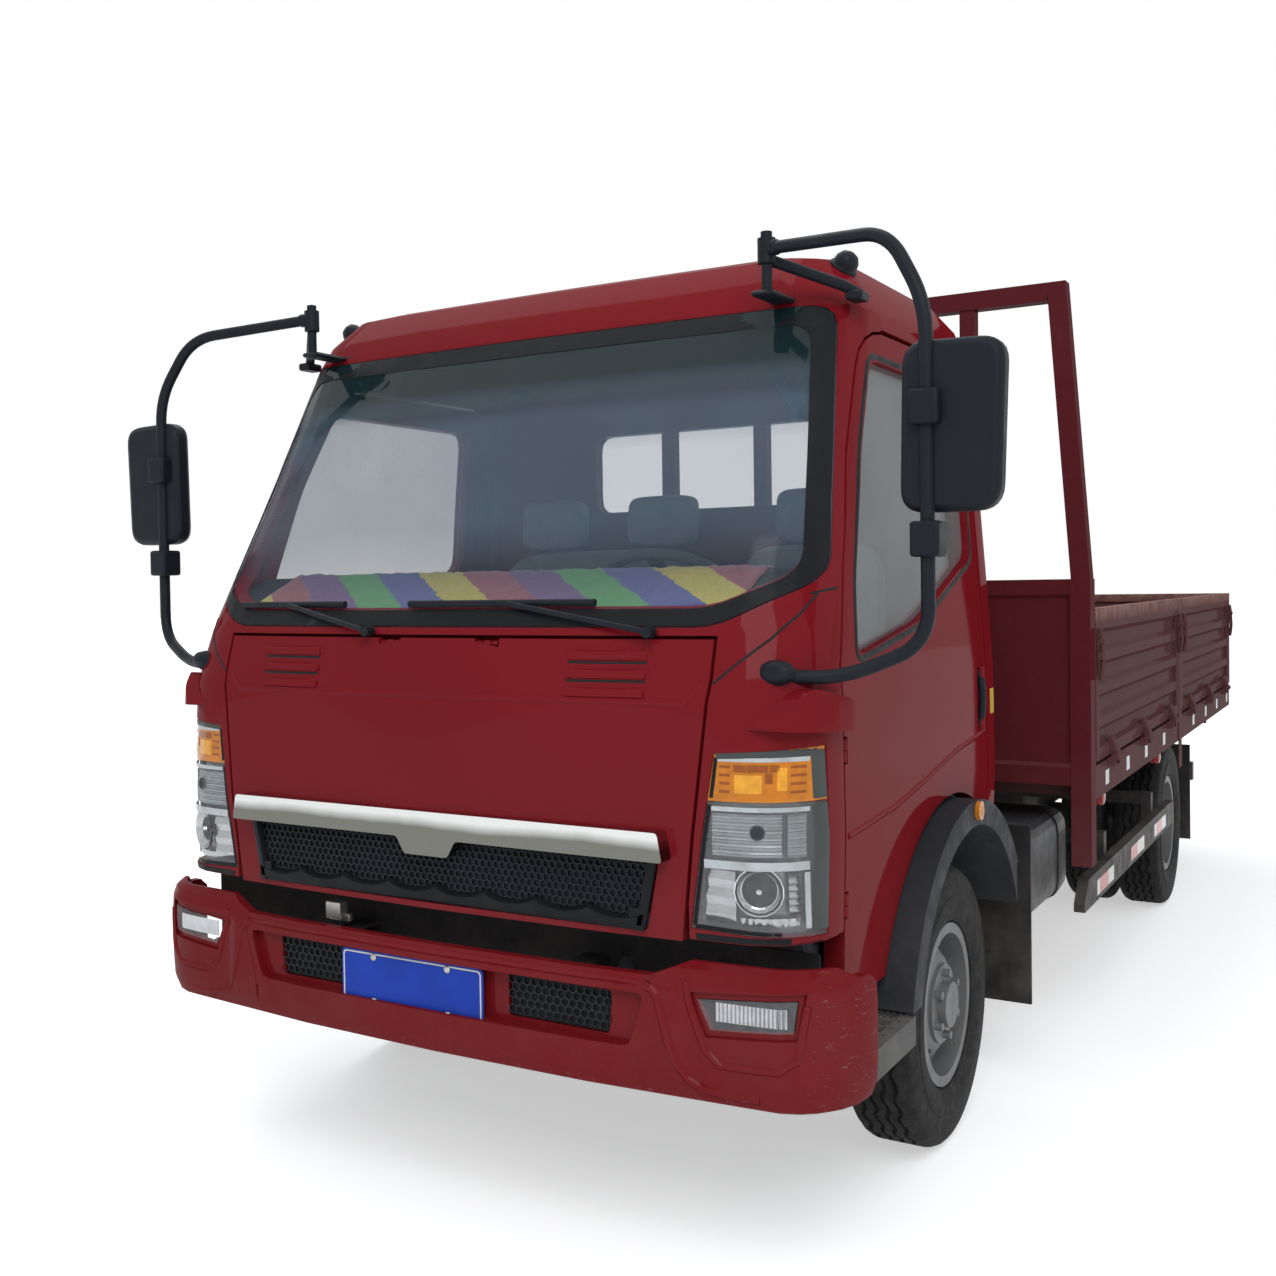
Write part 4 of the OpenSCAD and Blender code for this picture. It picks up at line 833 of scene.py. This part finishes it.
def mirrors():
    """Bent tube arms with their holders, clamps and padded heads."""
    pivot = [(-116, 13), (-38, 13), (-36, 22), (24, 22), (26, 14), (40, 14), (44, 0)]
    cap = [(-10, 0), (-8, 24), (2, 30), (30, 29), (54, 22), (62, 15)]
    for s, side in SIDES:
        top = at(s * ARM_TOP[0], *ARM_TOP[1:])
        bm = bmesh.new()
        add_tube(bm, bent([at(s * x, y, z) for x, y, z in MIRROR_ARM], 75, 8), 15.5, 20)
        add_lathe(bm, pivot, top, (0, 0, 1), 24)
        add_lathe(bm, [(10, 19), (34, 19), (38, 16)], top, (s * 0.92, -0.38, -0.1), 24)
        add_tube(bm, [at(s * 732, 456, 2338), at(s * 868, 596, 2283), at(s * 900, 628, 2262)], 14, 16)
        # dome cap where the tube meets the corner panel
        add_lathe(bm, cap, at(s * 850, 148, 1360), (s * 0.97, -0.2, 0.1), 28)
        arm = from_bm(f"mirror_arm_{side}", bm, BLACK, "cab")
        if s > 0:
            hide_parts("mirrors")
        brackets = [
            (s * 694, s * 752, 430, 640, 2250, 2264),
            (s * 640, s * 752, 566, 640, 2248, 2266),
            (s * 872, s * 915, 590, 655, 2246, 2270),
        ]
        clamps = [(s * 1140, s * 1204, 232, 300, z, z + 76) for z in (1610, 1890)]
        boxes(f"mirror_holders_{side}", BLACK, "cab", 7, brackets + clamps)
        bm = bmesh.new()
        for x in (660, 730):
            add_lathe(bm, [(-3, 9), (5, 9), (8, 5)], at(s * x, 606, 2266), (0, 0, 1), 12)
        from_bm(f"mirror_bolts_{side}", bm, ZINC, "cab")
        bm = bmesh.new()
        outline = [(1108, 1705), (1322, 1705), (1336, 2068), (1116, 2074)]
        prism(bm, softened(mirrored(s, outline), 55, 6), 262, 322)
        from_bm(f"mirror_head_{side}", bm, BLACK, "cab", bevel=16, angle=50)
        bm = bmesh.new()
        outline = [(1124, 1721), (1308, 1721), (1320, 2052), (1130, 2058)]
        prism(bm, softened(mirrored(s, outline), 42, 6), 318, 323.5)
        from_bm(f"mirror_face_{side}", bm, MIRROR, "cab")


windscreen()
door_trim()
mirrors()
front_lines()


# Grille, bumper and plate

def add_hex_plate(bm, inside, x0, x1, z0, z1, pitch, bar, y0, y1):
    """A plate of hexagon holes in the front view, clipped to the cells whose middles are inside."""
    row = pitch * math.sqrt(3) / 2
    turns = [math.radians(60 * k) for k in range(6)]
    for j in range(int((z1 - z0) / row) + 1):
        for i in range(int((x1 - x0) / pitch) + 1):
            cx, cz = x0 + (i + (j % 2) / 2) * pitch, z0 + j * row
            if not inside(cx, cz):
                continue
            wide, narrow = [[(cx + r * math.sin(a), cz + r * math.cos(a)) for a in turns]
                            for r in (pitch / math.sqrt(3), (pitch - bar) / math.sqrt(3))]
            outer, inner, deep, rear = [[bm.verts.new(at(x, y, z)) for x, z in ring]
                                        for ring, y in ((wide, y0), (narrow, y0), (narrow, y1), (wide, y1))]
            for k in range(6):
                m = (k + 1) % 6
                bm.faces.new((outer[k], outer[m], inner[m], inner[k]))
                bm.faces.new((inner[k], inner[m], deep[m], deep[k]))
                bm.faces.new((deep[k], deep[m], rear[m], rear[k]))


def mouth_half(z):
    """Half width of the grille opening at a height."""
    return 588 + 32 * (z - 782) / 160


def in_mouth(x, z):
    return abs(x) < mouth_half(z) - 14 and 792 < z < 940


def front_mesh():
    bm = bmesh.new()
    add_hex_plate(bm, in_mouth, -600, 600, 794, 944, 19, 4.5, 60.5, 67)
    mesh = from_bm("grille_mesh", bm, BLACK, "lid", False)
    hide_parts("front_grille")
    # frame with a scalloped lower border
    bm = bmesh.new()
    rows, steps, swags, half = [], 96, 8, 586
    for i in range(steps + 1):
        x = -half + 2 * half * i / steps
        wave = abs(math.sin(math.pi * swags * i / steps)) ** 0.7
        edge = 832 - 17 * wave
        profile = ((52, 784), (47, 796), (47, edge - 9), (58, edge))
        rows.append([(at(x, y, z), FORWARD) for y, z in profile])
    shell(bm, rows, 6.0)
    profile = ((2, 52), (10, 47), (22, 47), (28, 58))
    for s, _ in SIDES:
        rows = [[(at(s * (mouth_half(z) - w), y, z), FORWARD) for w, y in profile]
                for z in (784, 830, 880, 941)]
        shell(bm, rows, 6.0)
        add_box(bm, s * 548, s * 584, 49, 56, 788, 834)
    from_bm("grille_border", bm, BORDER, "lid")
    boxes("grille_backing", DASH, "lid", 1, [(-582, 582, 70, 74, 790, 944)])


def in_intake(x, z):
    return 226 < abs(x) < 502 and 544 < z < 638


def bumper_mesh():
    for s, side in SIDES:
        bm = bmesh.new()
        add_hex_plate(bm, in_intake, *sorted((s * 222, s * 506)), 540, 640, 21, 4.5, 42, 49)
        mesh = from_bm(f"bumper_mesh_{side}", bm, BLACK, "chassis", False)
        if s > 0:
            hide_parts("bumper_grilles")
    backing = [(s * 215, s * 515, 56, 60, 532, 648) for s, _ in SIDES]
    boxes("bumper_mesh_backing", DASH, "chassis", 1, backing)


def plate():
    """Blank blue plate with a white border, four bolts and two stays."""
    x0, x1, z0, z1, y = -275, 165, 508, 648, 16
    bm = bmesh.new()
    prism(bm, softened(rect(x0, x1, z0, z1), 12, 4), y, y + 4)
    from_bm("plate_blank", bm, BLUE, "chassis", bevel=1)
    bm = bmesh.new()
    outer, inner = [softened(rect(x0 + d, x1 - d, z0 + d, z1 - d), r, 4) for d, r in ((5, 12), (9, 10))]
    shell(bm, [[(at(p.x, y - 0.8, p.y), FORWARD) for p in pair] for pair in zip(outer, inner)], 1.2, True)
    from_bm("plate_border", bm, WHITE, "chassis")
    bm = bmesh.new()
    for x in (x0 + 105, x1 - 105):
        for z in (z0 + 14, z1 - 14):
            add_lathe(bm, [(0, 9), (3, 9), (6, 6), (7, 0)], at(x, y, z), FORWARD, 16)
        add_box(bm, x - 18, x + 18, y + 3, 45, z0 + 30, z1 - 30)
    from_bm("plate_bolts", bm, ZINC, "chassis")


def between(v, low, high):
    return min(1.0, max(0.0, (v - low) / (high - low)))


def ease(v, start, end):
    """Runs smoothly from 1 at start to 0 at end."""
    t = between(v, start, end)
    return 1 - t * t * (3 - 2 * t)


def bumper_depth(x, z):
    return (cast("front_bumper", "front", x, z)[0].y + HALF) * 1000


def intake_pad(bm, s):
    """Skin that blends the flat surround of a bumper intake into the bowed face outside and below it."""
    surround = 19.3  # depth of the skin on the surround, just in front of it
    grid = []
    for j in range(37):
        z = 440 + 250 * j / 36
        low = between(z, 640, 520)
        x0, x1 = 614 - 30 * low, 700 + 30 * low
        row = []
        for i in range(25):
            x = x0 + (x1 - x0) * i / 24
            t = between(z, 500, 680)
            under, over = bumper_depth(s * x, 500), bumper_depth(s * x, 682)
            bowed = under + (over - under) * t - 5.6 * t * (1 - t)
            there = bumper_depth(s * x, z)
            face = there if there > bowed - 3 else bowed
            share = ease(x, 650, 698) * ease(z, 513, 452) * ease(z, 666, 687)
            row.append((at(s * x, face - 0.5 - max(0.0, face - surround) * share, z), FORWARD))
        grid.append(row)
    shell(bm, grid, 2.0)


def bumper_lines():
    bm = bmesh.new()
    intake_pad(bm, 1)
    intake_pad(bm, -1)
    # the bumper with the pads on it carries the pressed lines
    me = nodes["front_bumper"].data
    bm.verts.index_update()
    points = [v.co.copy() for v in me.vertices] + [v.co.copy() for v in bm.verts]
    faces = [list(p.vertices) for p in me.polygons]
    faces += [[v.index + len(me.vertices) for v in f.verts] for f in bm.faces]
    trees["bumper_face"] = BVHTree.FromPolygons(points, faces)
    from_bm("bumper_pads", bm, BUMPER, "chassis", angle=60)
    bm = bmesh.new()
    crease = [(0, 677), (540, 677), (590, 674), (618, 666), (632, 650), (640, 620), (650, 580), (662, 540),
              (678, 502), (700, 474), (730, 458), (780, 450), (860, 450)]
    fog_surround = [(696, 690), (702, 650), (738, 550), (772, 516), (905, 518), (944, 548), (962, 660)]
    for s, _ in SIDES:
        add_bead(bm, "bumper_face", "front", mirrored(s, crease), 20, 5.0, 3.0, 10)
        add_bead(bm, "front_bumper", "front", mirrored(s, fog_surround), 18, 5.0)
    from_bm("bumper_pressings", bm, BUMPER, "chassis")
    bracket = [(-400, -350, 95, 130, 690, 735), (-410, -340, 120, 136, 680, 700)]
    boxes("bumper_bracket", ZINC, "chassis", 3, bracket)
    boxes("bumper_backing", CHASSIS, "chassis", 2, [(-930, 930, 232, 238, 490, 732)])


front_mesh()
bumper_mesh()
plate()
bumper_lines()


# Lamps

BOARDS_FRONT, BOARDS_REAR = 2136, 5908
MID_POST = (BOARDS_FRONT + BOARDS_REAR) / 2
TAIL_REAR, TAIL_LOW, TAIL_HIGH = 5950, 713, 823


def lens_piece(name, node, s, aim, mat, body, thick=3.0, inset=0.0, limit=0.25, until=9.0):
    """The faces of a lamp's solid that look one way, as a thin cover or as a liner set in by mm.

    Only faces on one side and in front of a place along the truck, in metres, are taken."""
    me = nodes[node].data
    keep = [p for p in me.polygons
            if p.center.x * s > 0 and p.center.y < until and p.normal.dot(aim) > limit]
    bm = bmesh.new()
    corners = {v: bm.verts.new(me.vertices[v].co) for v in sorted({v for p in keep for v in p.vertices})}
    for p in keep:
        bm.faces.new([corners[v] for v in p.vertices])
    bmesh.ops.remove_doubles(bm, verts=bm.verts, dist=1e-5)
    bm.normal_update()
    moves = {v: -v.normal * inset / 1000 for v in bm.verts}
    for v, move in moves.items():
        v.co += move
    o = from_bm(name, bm, mat, body)
    solid = o.modifiers.new("wall", "SOLIDIFY")
    solid.thickness = thick / 1000
    solid.offset = -1
    return o


def lamp_sheet(name, s, node, mat, rows, smooth=True):
    """Sheets on or in a headlamp. Rows: x0, x1, z0, z1, steps across, steps up, lift."""
    bm = bmesh.new()
    for x0, x1, z0, z1, nu, nv, lift in rows:
        add_patch(bm, node, "front", rect(s * x0, s * x1, z0, z1), nu, nv, lift)
    from_bm(name, bm, mat, "cab", smooth, angle=60)


# faceted steps beside the main beam
BEAM_STEPS = [
    (722, 796, 814, 930, 7, 6, lambda u, v: -22 + 9 * u * u + 5 * (round(v * 6) % 2)),
    (800, 926, 812, 830, 16, 3, lambda u, v: -16 + 4 * (round(u * 16) % 2) + 4 * v),
    (908, 928, 836, 930, 4, 12, lambda u, v: -17 + 5 * (round(v * 12) % 2)),
]
# level ripples of the position lamp and its ribbed column
RIPPLES = [
    (744, 896, 964, 1060, 14, 44, lambda u, v: -9 + 3.2 * math.sin(v * 25 * math.pi)),
    (906, 936, 964, 1060, 5, 44, lambda u, v: -7 + 2.8 * math.sin(v * 33 * math.pi)),
]
LAMP_BARS = [
    (728, 938, 937, 956, 24, 1, 1.0),
    (746, 938, 1064, 1074, 24, 1, 1.0),
    (930, 938, 808, 932, 2, 8, 0.9),
]
LAMP_STRIP = [(760, 936, 1172, 1182, 20, 1, 1.0)]
AMBER_BARS = [(x, x + 24, z, z + 6, 2, 1, 0.7) for x in (764, 908) for z in (1104, 1122, 1140, 1158)]
AMBER_BARS += [(796, 888, 1150, 1166, 8, 2, 0.7), (862, 876, 1126, 1148, 2, 2, 1.1)]
AMBER_FIELD = [(798, 856, 1104, 1144, 6, 3, 0.7), (884, 902, 1110, 1160, 3, 3, 0.7)]


def headlamps():
    bowl = [(2, 26), (5, 34), (10, 42), (16, 48), (22, 52), (23, 55), (14, 55), (0, 30)]
    dark_ring = [(2, 4), (3, 22), (8, 30), (11, 33), (5, 33), (-2, 20)]
    for s, side in SIDES:
        aim = Vector((0.5 * s, -0.86, 0))
        cover = lens_piece(f"headlamp_lens_{side}", "headlamps", s, aim, CLEAR, "cab")
        amber = lens_piece(f"indicator_lens_{side}", "indicators", s, aim, AMBER, "cab")
        if s > 0:
            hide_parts("headlamps")
            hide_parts("indicators")
        lens_piece(f"headlamp_liner_{side}", "headlamps", s, aim, HOUSING, "cab", 2.0, 30)
        lens_piece(f"indicator_liner_{side}", "indicators", s, aim, SILVER, "cab", 2.0, 22)
        # main beam: faceted bowl with a dark ring and its bulb, bright steps beside it
        middle = cast("headlamps", "front", s * 850, 890, -26)[0]
        way = Vector((0.34 * s, -0.94, 0))
        bm = bmesh.new()
        add_lathe(bm, bowl, middle, way, 17)
        add_lathe(bm, [(0, 9), (16, 9), (22, 6), (23, 0)], middle, way, 10)
        from_bm(f"reflector_{side}", bm, SILVER, "cab", False)
        bm = bmesh.new()
        add_lathe(bm, dark_ring, middle, way, 24)
        from_bm(f"reflector_ring_{side}", bm, BORDER, "cab")
        lamp_sheet(f"lamp_steps_{side}", s, "headlamps", SILVER, BEAM_STEPS, False)
        # position lamp: level ripples, a ribbed column, bright bars above and below
        lamp_sheet(f"position_ripples_{side}", s, "headlamps", RIPPLE, RIPPLES)
        bm = bmesh.new()
        cap = [(0, 17), (4, 17), (9, 12), (11, 0)]
        add_lathe(bm, cap, *cast("headlamps", "front", s * 848, 1020, -7), 10)
        column = cast("headlamps", "front", s * 901, 1012, -9)[0]
        add_lathe(bm, [(-44, 3), (44, 3)], column, (0, 0, 1), 8)
        from_bm(f"position_cap_{side}", bm, DASH, "cab", False)
        lamp_sheet(f"lamp_bars_{side}", s, "headlamps", RIPPLE, LAMP_BARS)
        lamp_sheet(f"lamp_strip_{side}", s, "indicators", RIPPLE, LAMP_STRIP)
        # amber field: bars at its ends, a light middle
        lamp_sheet(f"amber_bars_{side}", s, "indicators", AMBER_DEEP, AMBER_BARS, False)
        lamp_sheet(f"amber_field_{side}", s, "indicators", AMBER_LIGHT, AMBER_FIELD, False)
        # grey bezel on the outer side and the top, dark joint on the inner side
        bm = bmesh.new()
        add_bead(bm, "headlamps", side, [(194, 802), (194, 1078)], 44, 4.0)
        add_bead(bm, "indicators", side, [(194, 1090), (194, 1194)], 44, 4.0)
        brow = [(757, 1184), (830, 1188), (890, 1189), (945, 1190)]
        add_bead(bm, "indicators", "front", mirrored(s, brow), 18, 3.0, 2, 10)
        from_bm(f"lamp_bezel_{side}", bm, BEZEL, "cab")
        bm = bmesh.new()
        add_bead(bm, "headlamps", "front", mirrored(s, [(741, 1076), (702, 808)]), 9, 2.0)
        add_bead(bm, "headlamps", "front", mirrored(s, [(704, 805), (800, 802), (890, 798)]), 9, 2.0)
        add_bead(bm, "indicators", "front", mirrored(s, [(756, 1180), (745, 1092)]), 9, 2.0)
        add_patch(bm, "cab_front", "front", rect(s * 706, s * 950, 777, 790), 40, 1, 1.5)
        from_bm(f"lamp_joint_{side}", bm, BORDER, "cab")


def small_lamps():
    """Fog lamps, tail lamps and side markers in place of their plain solids."""
    marker = [(-32, 28), (-4, 28), (2, 24), (5, 12), (6, 0)]
    for s, side in SIDES:
        aim = Vector((0.3 * s, -0.95, 0))
        fog = lens_piece(f"fog_lens_{side}", "lamps", s, aim, CLEAR, "chassis", limit=0.3, until=-2.5)
        if s > 0:
            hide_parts("lamps")
        bm = bmesh.new()
        rows = []
        for k in range(37):
            x, lift = 758 + 168 * k / 36, -8 if k % 2 else -12
            rows.append([cast("lamps", "front", s * x, z, lift) for z in (608, 630, 650)])
        shell(bm, rows, 2.0)
        from_bm(f"fog_reflector_{side}", bm, SILVER, "chassis", False)
        # tail lamps: red and amber blocks in a frame
        lamp_frame = (s * 700, s * 1040, TAIL_REAR - 26, TAIL_REAR - 8, TAIL_LOW, TAIL_HIGH - 0.3)
        boxes(f"tail_frame_{side}", BLACK, "chassis", 5, [lamp_frame])
        for color, mat, blocks in (("red", RUBY, ((712, 800), (930, 1030))), ("amber", AMBER, ((812, 918),))):
            rows = [(s * a, s * b, TAIL_REAR - 12, TAIL_REAR, TAIL_LOW + 10, TAIL_HIGH - 12)
                    for a, b in blocks]
            boxes(f"tail_{color}_{side}", mat, "chassis", 4, rows)
        bm = bmesh.new()
        for y in (MID_POST - 420, BOARDS_FRONT + 250):
            add_lathe(bm, marker, at(s * 1132, y, 794.7), (s, 0, 0), 28)
        from_bm(f"side_markers_{side}", bm, RUBY, "chassis")
        bm = bmesh.new()
        add_lathe(bm, [(-6, 27), (5, 27), (11, 21), (14, 0)], at(s * 1030, 1156, 924), (s, 0, 0), 28)
        from_bm(f"arch_marker_{side}", bm, AMBER, "cab")


headlamps()
small_lamps()


# Wheels

TYRE_R = 383
TREAD_STEPS = 120
FRONT_AXLE, REAR_AXLE = 1130, 4410
FRONT_WHEEL_X = 867
TWIN_X = (845 - 118, 845 + 118)


def tread_profile(turn):
    """A truck tyre's outline at one angle: (across, radius), grooves that run in a zigzag."""
    shift = 5.0 if turn else -5.0
    wall = [(-68, 206), (-68, 223), (-86, 229), (-98, 262), (-100, 292), (-99, 300), (-96, 304), (-92, 359),
            (-88, 366), (-80, 375 if turn else 371), (-66, TYRE_R - 1.5)]
    tread = []
    for c in (-48, -16, 16, 48):
        g = c + shift
        tread += [(g - 6, TYRE_R), (g - 3.5, TYRE_R - 11), (g + 3.5, TYRE_R - 11), (g + 6, TYRE_R)]
    return wall + tread + [(-x, r) for x, r in reversed(wall)]


def tyre(bm, centre):
    rings = []
    for i in range(TREAD_STEPS):
        a = 2 * math.pi * i / TREAD_STEPS
        spoke = Vector((0, math.cos(a), math.sin(a)))
        profile = tread_profile((i // 2) % 2)
        rings.append([bm.verts.new(centre + (Vector((x, 0, 0)) + r * spoke) / 1000) for x, r in profile])
    for i in range(TREAD_STEPS):
        a, b = rings[i], rings[(i + 1) % TREAD_STEPS]
        for k in range(len(a)):
            m = (k + 1) % len(a)
            bm.faces.new((a[k], a[m], b[m], b[k]))


def wheels():
    for s, side in SIDES:
        bm = bmesh.new()
        tyre(bm, at(s * FRONT_WHEEL_X, FRONT_AXLE, TYRE_R))
        tread = from_bm(f"front_tyre_tread_{side}", bm, RUBBER, f"front_{side}_wheel", angle=28)
        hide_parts(f"front_{side}_tyre")
        bm = bmesh.new()
        for x in TWIN_X:
            tyre(bm, at(s * x, REAR_AXLE, TYRE_R))
        tread = from_bm(f"rear_tyre_tread_{side}", bm, RUBBER, f"rear_{side}_wheels", angle=28)
        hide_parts(f"rear_{side}_tyres")


wheels()


# Bed, boards and guards

def latch(bm, s, y, z):
    """A lever latch on a board's end: back plate, lever and hook."""
    x, long = s * 1160, 150
    add_box(bm, x, x + s * 5, y - 14, y + 14, z - long / 2, z + long / 2)
    lever = [(8, -0.55), (16, -0.2), (12, 0.35), (6, 0.6)]
    add_tube(bm, bent([at(x + s * out, y, z + long * up) for out, up in lever], 30), 8, 10)
    add_box(bm, x, x + s * 18, y - 18, y + 18, z - 14, z + 14)
    add_lathe(bm, [(-2, 11), (20, 11), (23, 7)], at(x, y, z + long * 0.3), (s, 0, 0), 14)


def bed_fittings():
    half_post = 43
    spans = (("front", BOARDS_FRONT, MID_POST - half_post), ("rear", MID_POST + half_post, BOARDS_REAR))
    for s, side in SIDES:
        for end, y0, y1 in spans:
            body = f"{side}_{end}_board"
            bm = bmesh.new()
            for y in (y0 + 24, y1 - 24):
                latch(bm, s, y, 1300)
            from_bm(f"{body}_latches", bm, BED, body, bevel=1.5)
    for s, side in SIDES:
        bm = bmesh.new()
        for y in (2300, 2700, 3100, 3550, 4450, 4900, 5350, 5800):
            add_patch(bm, "bed_floor", side, rect(y, y + 60, 850, 900), 1, 1, 0.7)
        from_bm(f"rail_film_{side}", bm, WHITE, "chassis")
        bm = bmesh.new()
        for y in (2250, 2900, 3450):
            add_patch(bm, "side_guards", side, rect(y, y + 300, 478, 530), 2, 1, 0.7)
        from_bm(f"guard_tape_{side}", bm, TAPE, "chassis")


def step_treads():
    """Black inlays in the steps' pockets and rows of teeth between them."""
    pitch = 58
    pockets = [317 + k * pitch for k in range(5)]
    ridges = [300 + k * pitch for k in range(5)] + [294 + 5 * pitch]
    for s, side in SIDES:
        inlays = [(s * x, s * (x + 64), y, y + 36, 496, 499.5) for y in pockets for x in (852, 930)]
        boxes(f"step_inlay_{side}", BLACK, "chassis", 1, inlays)
        teeth = [(s * x, s * (x + 9), y, y + 8, 508, 515) for y in ridges for x in range(846, 1007, 16)]
        boxes(f"step_teeth_{side}", STEP, "chassis", 1, teeth)


bed_fittings()
step_treads()


# Cab interior

def cushion(name, lo, hi, lean=0.0, channels=()):
    """A crowned pad in a box, with sewn channels: axis, place, (face axis, face sign), depth."""
    size = [b - a for a, b in zip(lo, hi)]
    mid = [(a + b) / 2 for a, b in zip(lo, hi)]
    bm = bmesh.new()
    bmesh.ops.create_cube(bm, size=2)
    bmesh.ops.subdivide_edges(bm, edges=bm.edges, cuts=17, use_grid_fill=True)
    for v in bm.verts:
        u = list(v.co)
        # round the box off, then crown its faces
        k = (abs(u[0]) ** 7 + abs(u[1]) ** 7 + abs(u[2]) ** 7) ** (1 / 7)
        p = [c / k for c in u]
        for i in range(3):
            j, m = (i + 1) % 3, (i + 2) % 3
            p[i] *= 1 - 0.05 * (abs(u[j]) ** 2 + abs(u[m]) ** 2) / 2
        q = [mid[i] + p[i] * size[i] / 2 for i in range(3)]
        for axis, place, face, depth in channels:
            if u[face[0]] * face[1] > 0.9:
                d = (u[axis] - place) / 0.05
                q[face[0]] -= face[1] * depth * math.exp(-d * d)
        q[1] += lean * (q[2] - lo[2])
        n = noise.noise(Vector(q) * 0.012) * 3.0
        v.co = at(q[0], q[1], q[2] + n * (1 - abs(p[2])))
    o = from_bm(name, bm, WEAVE, "cab", angle=180)
    smooth = o.modifiers.new("smooth", "SUBSURF")
    smooth.levels = 1
    smooth.render_levels = 1
    return o


def seats():
    for name, x, w, heads in (("driver", 430, 500, (0,)), ("crew", -330, 860, (-0.25, 0.25))):
        x0, x1 = x - w / 2, x + w / 2
        lines = (-0.45, 0.45) if w < 600 else (-0.6, 0.0, 0.6)
        top, front = (2, 1), (1, -1)
        channels = [(0, p, top, 9) for p in lines] + [(1, -0.2, top, 7)]
        seat = cushion(f"seat_{name}", (x0, 802, 976), (x1, 1338, 1148), 0.0, channels)
        if name == "driver":
            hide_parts("seats")
        channels = [(0, p, front, 9) for p in lines] + [(2, 0.1, front, 7)]
        cushion(f"back_{name}", (x0 + 15, 1346, 1030), (x1 - 15, 1462, 1680), 0.138, channels)
        for k, h in enumerate(heads):
            middle = x + h * w
            cushion(f"head_{name}_{k}", (middle - 122, 1448, 1690), (middle + 122, 1545, 1860), 0.1)


def dash_mat():
    """Deep-pile mat laid over the top of the dashboard, its front edge towards the glass."""
    bm = bmesh.new()
    rows, nx, ny, rear = [], 120, 12, 428
    for i in range(nx + 1):
        x = -750 + 1500 * i / nx
        row = []
        edge = next(y for y in range(110, 400, 6) if sight("dashboard", "top", x, y)) + 16
        for j in range(ny + 1):
            y = edge + (rear - edge) * j / ny
            p = cast("dashboard", "top", x, y)[0]
            tufts = 5 * noise.noise(Vector((x * 0.05, y * 0.05, 0)))
            fluff = 9 + tufts + 3 * noise.noise(Vector((x * 0.2, y * 0.2, 3)))
            row.append((p + Vector((0, 0, fluff / 1000)), Vector((0, 0, 1))))
        rows.append(row)
    shell(bm, rows, 7.0)
    o = from_bm("dash_mat", bm, STRIPES, "cab", angle=180)


seats()
dash_mat()
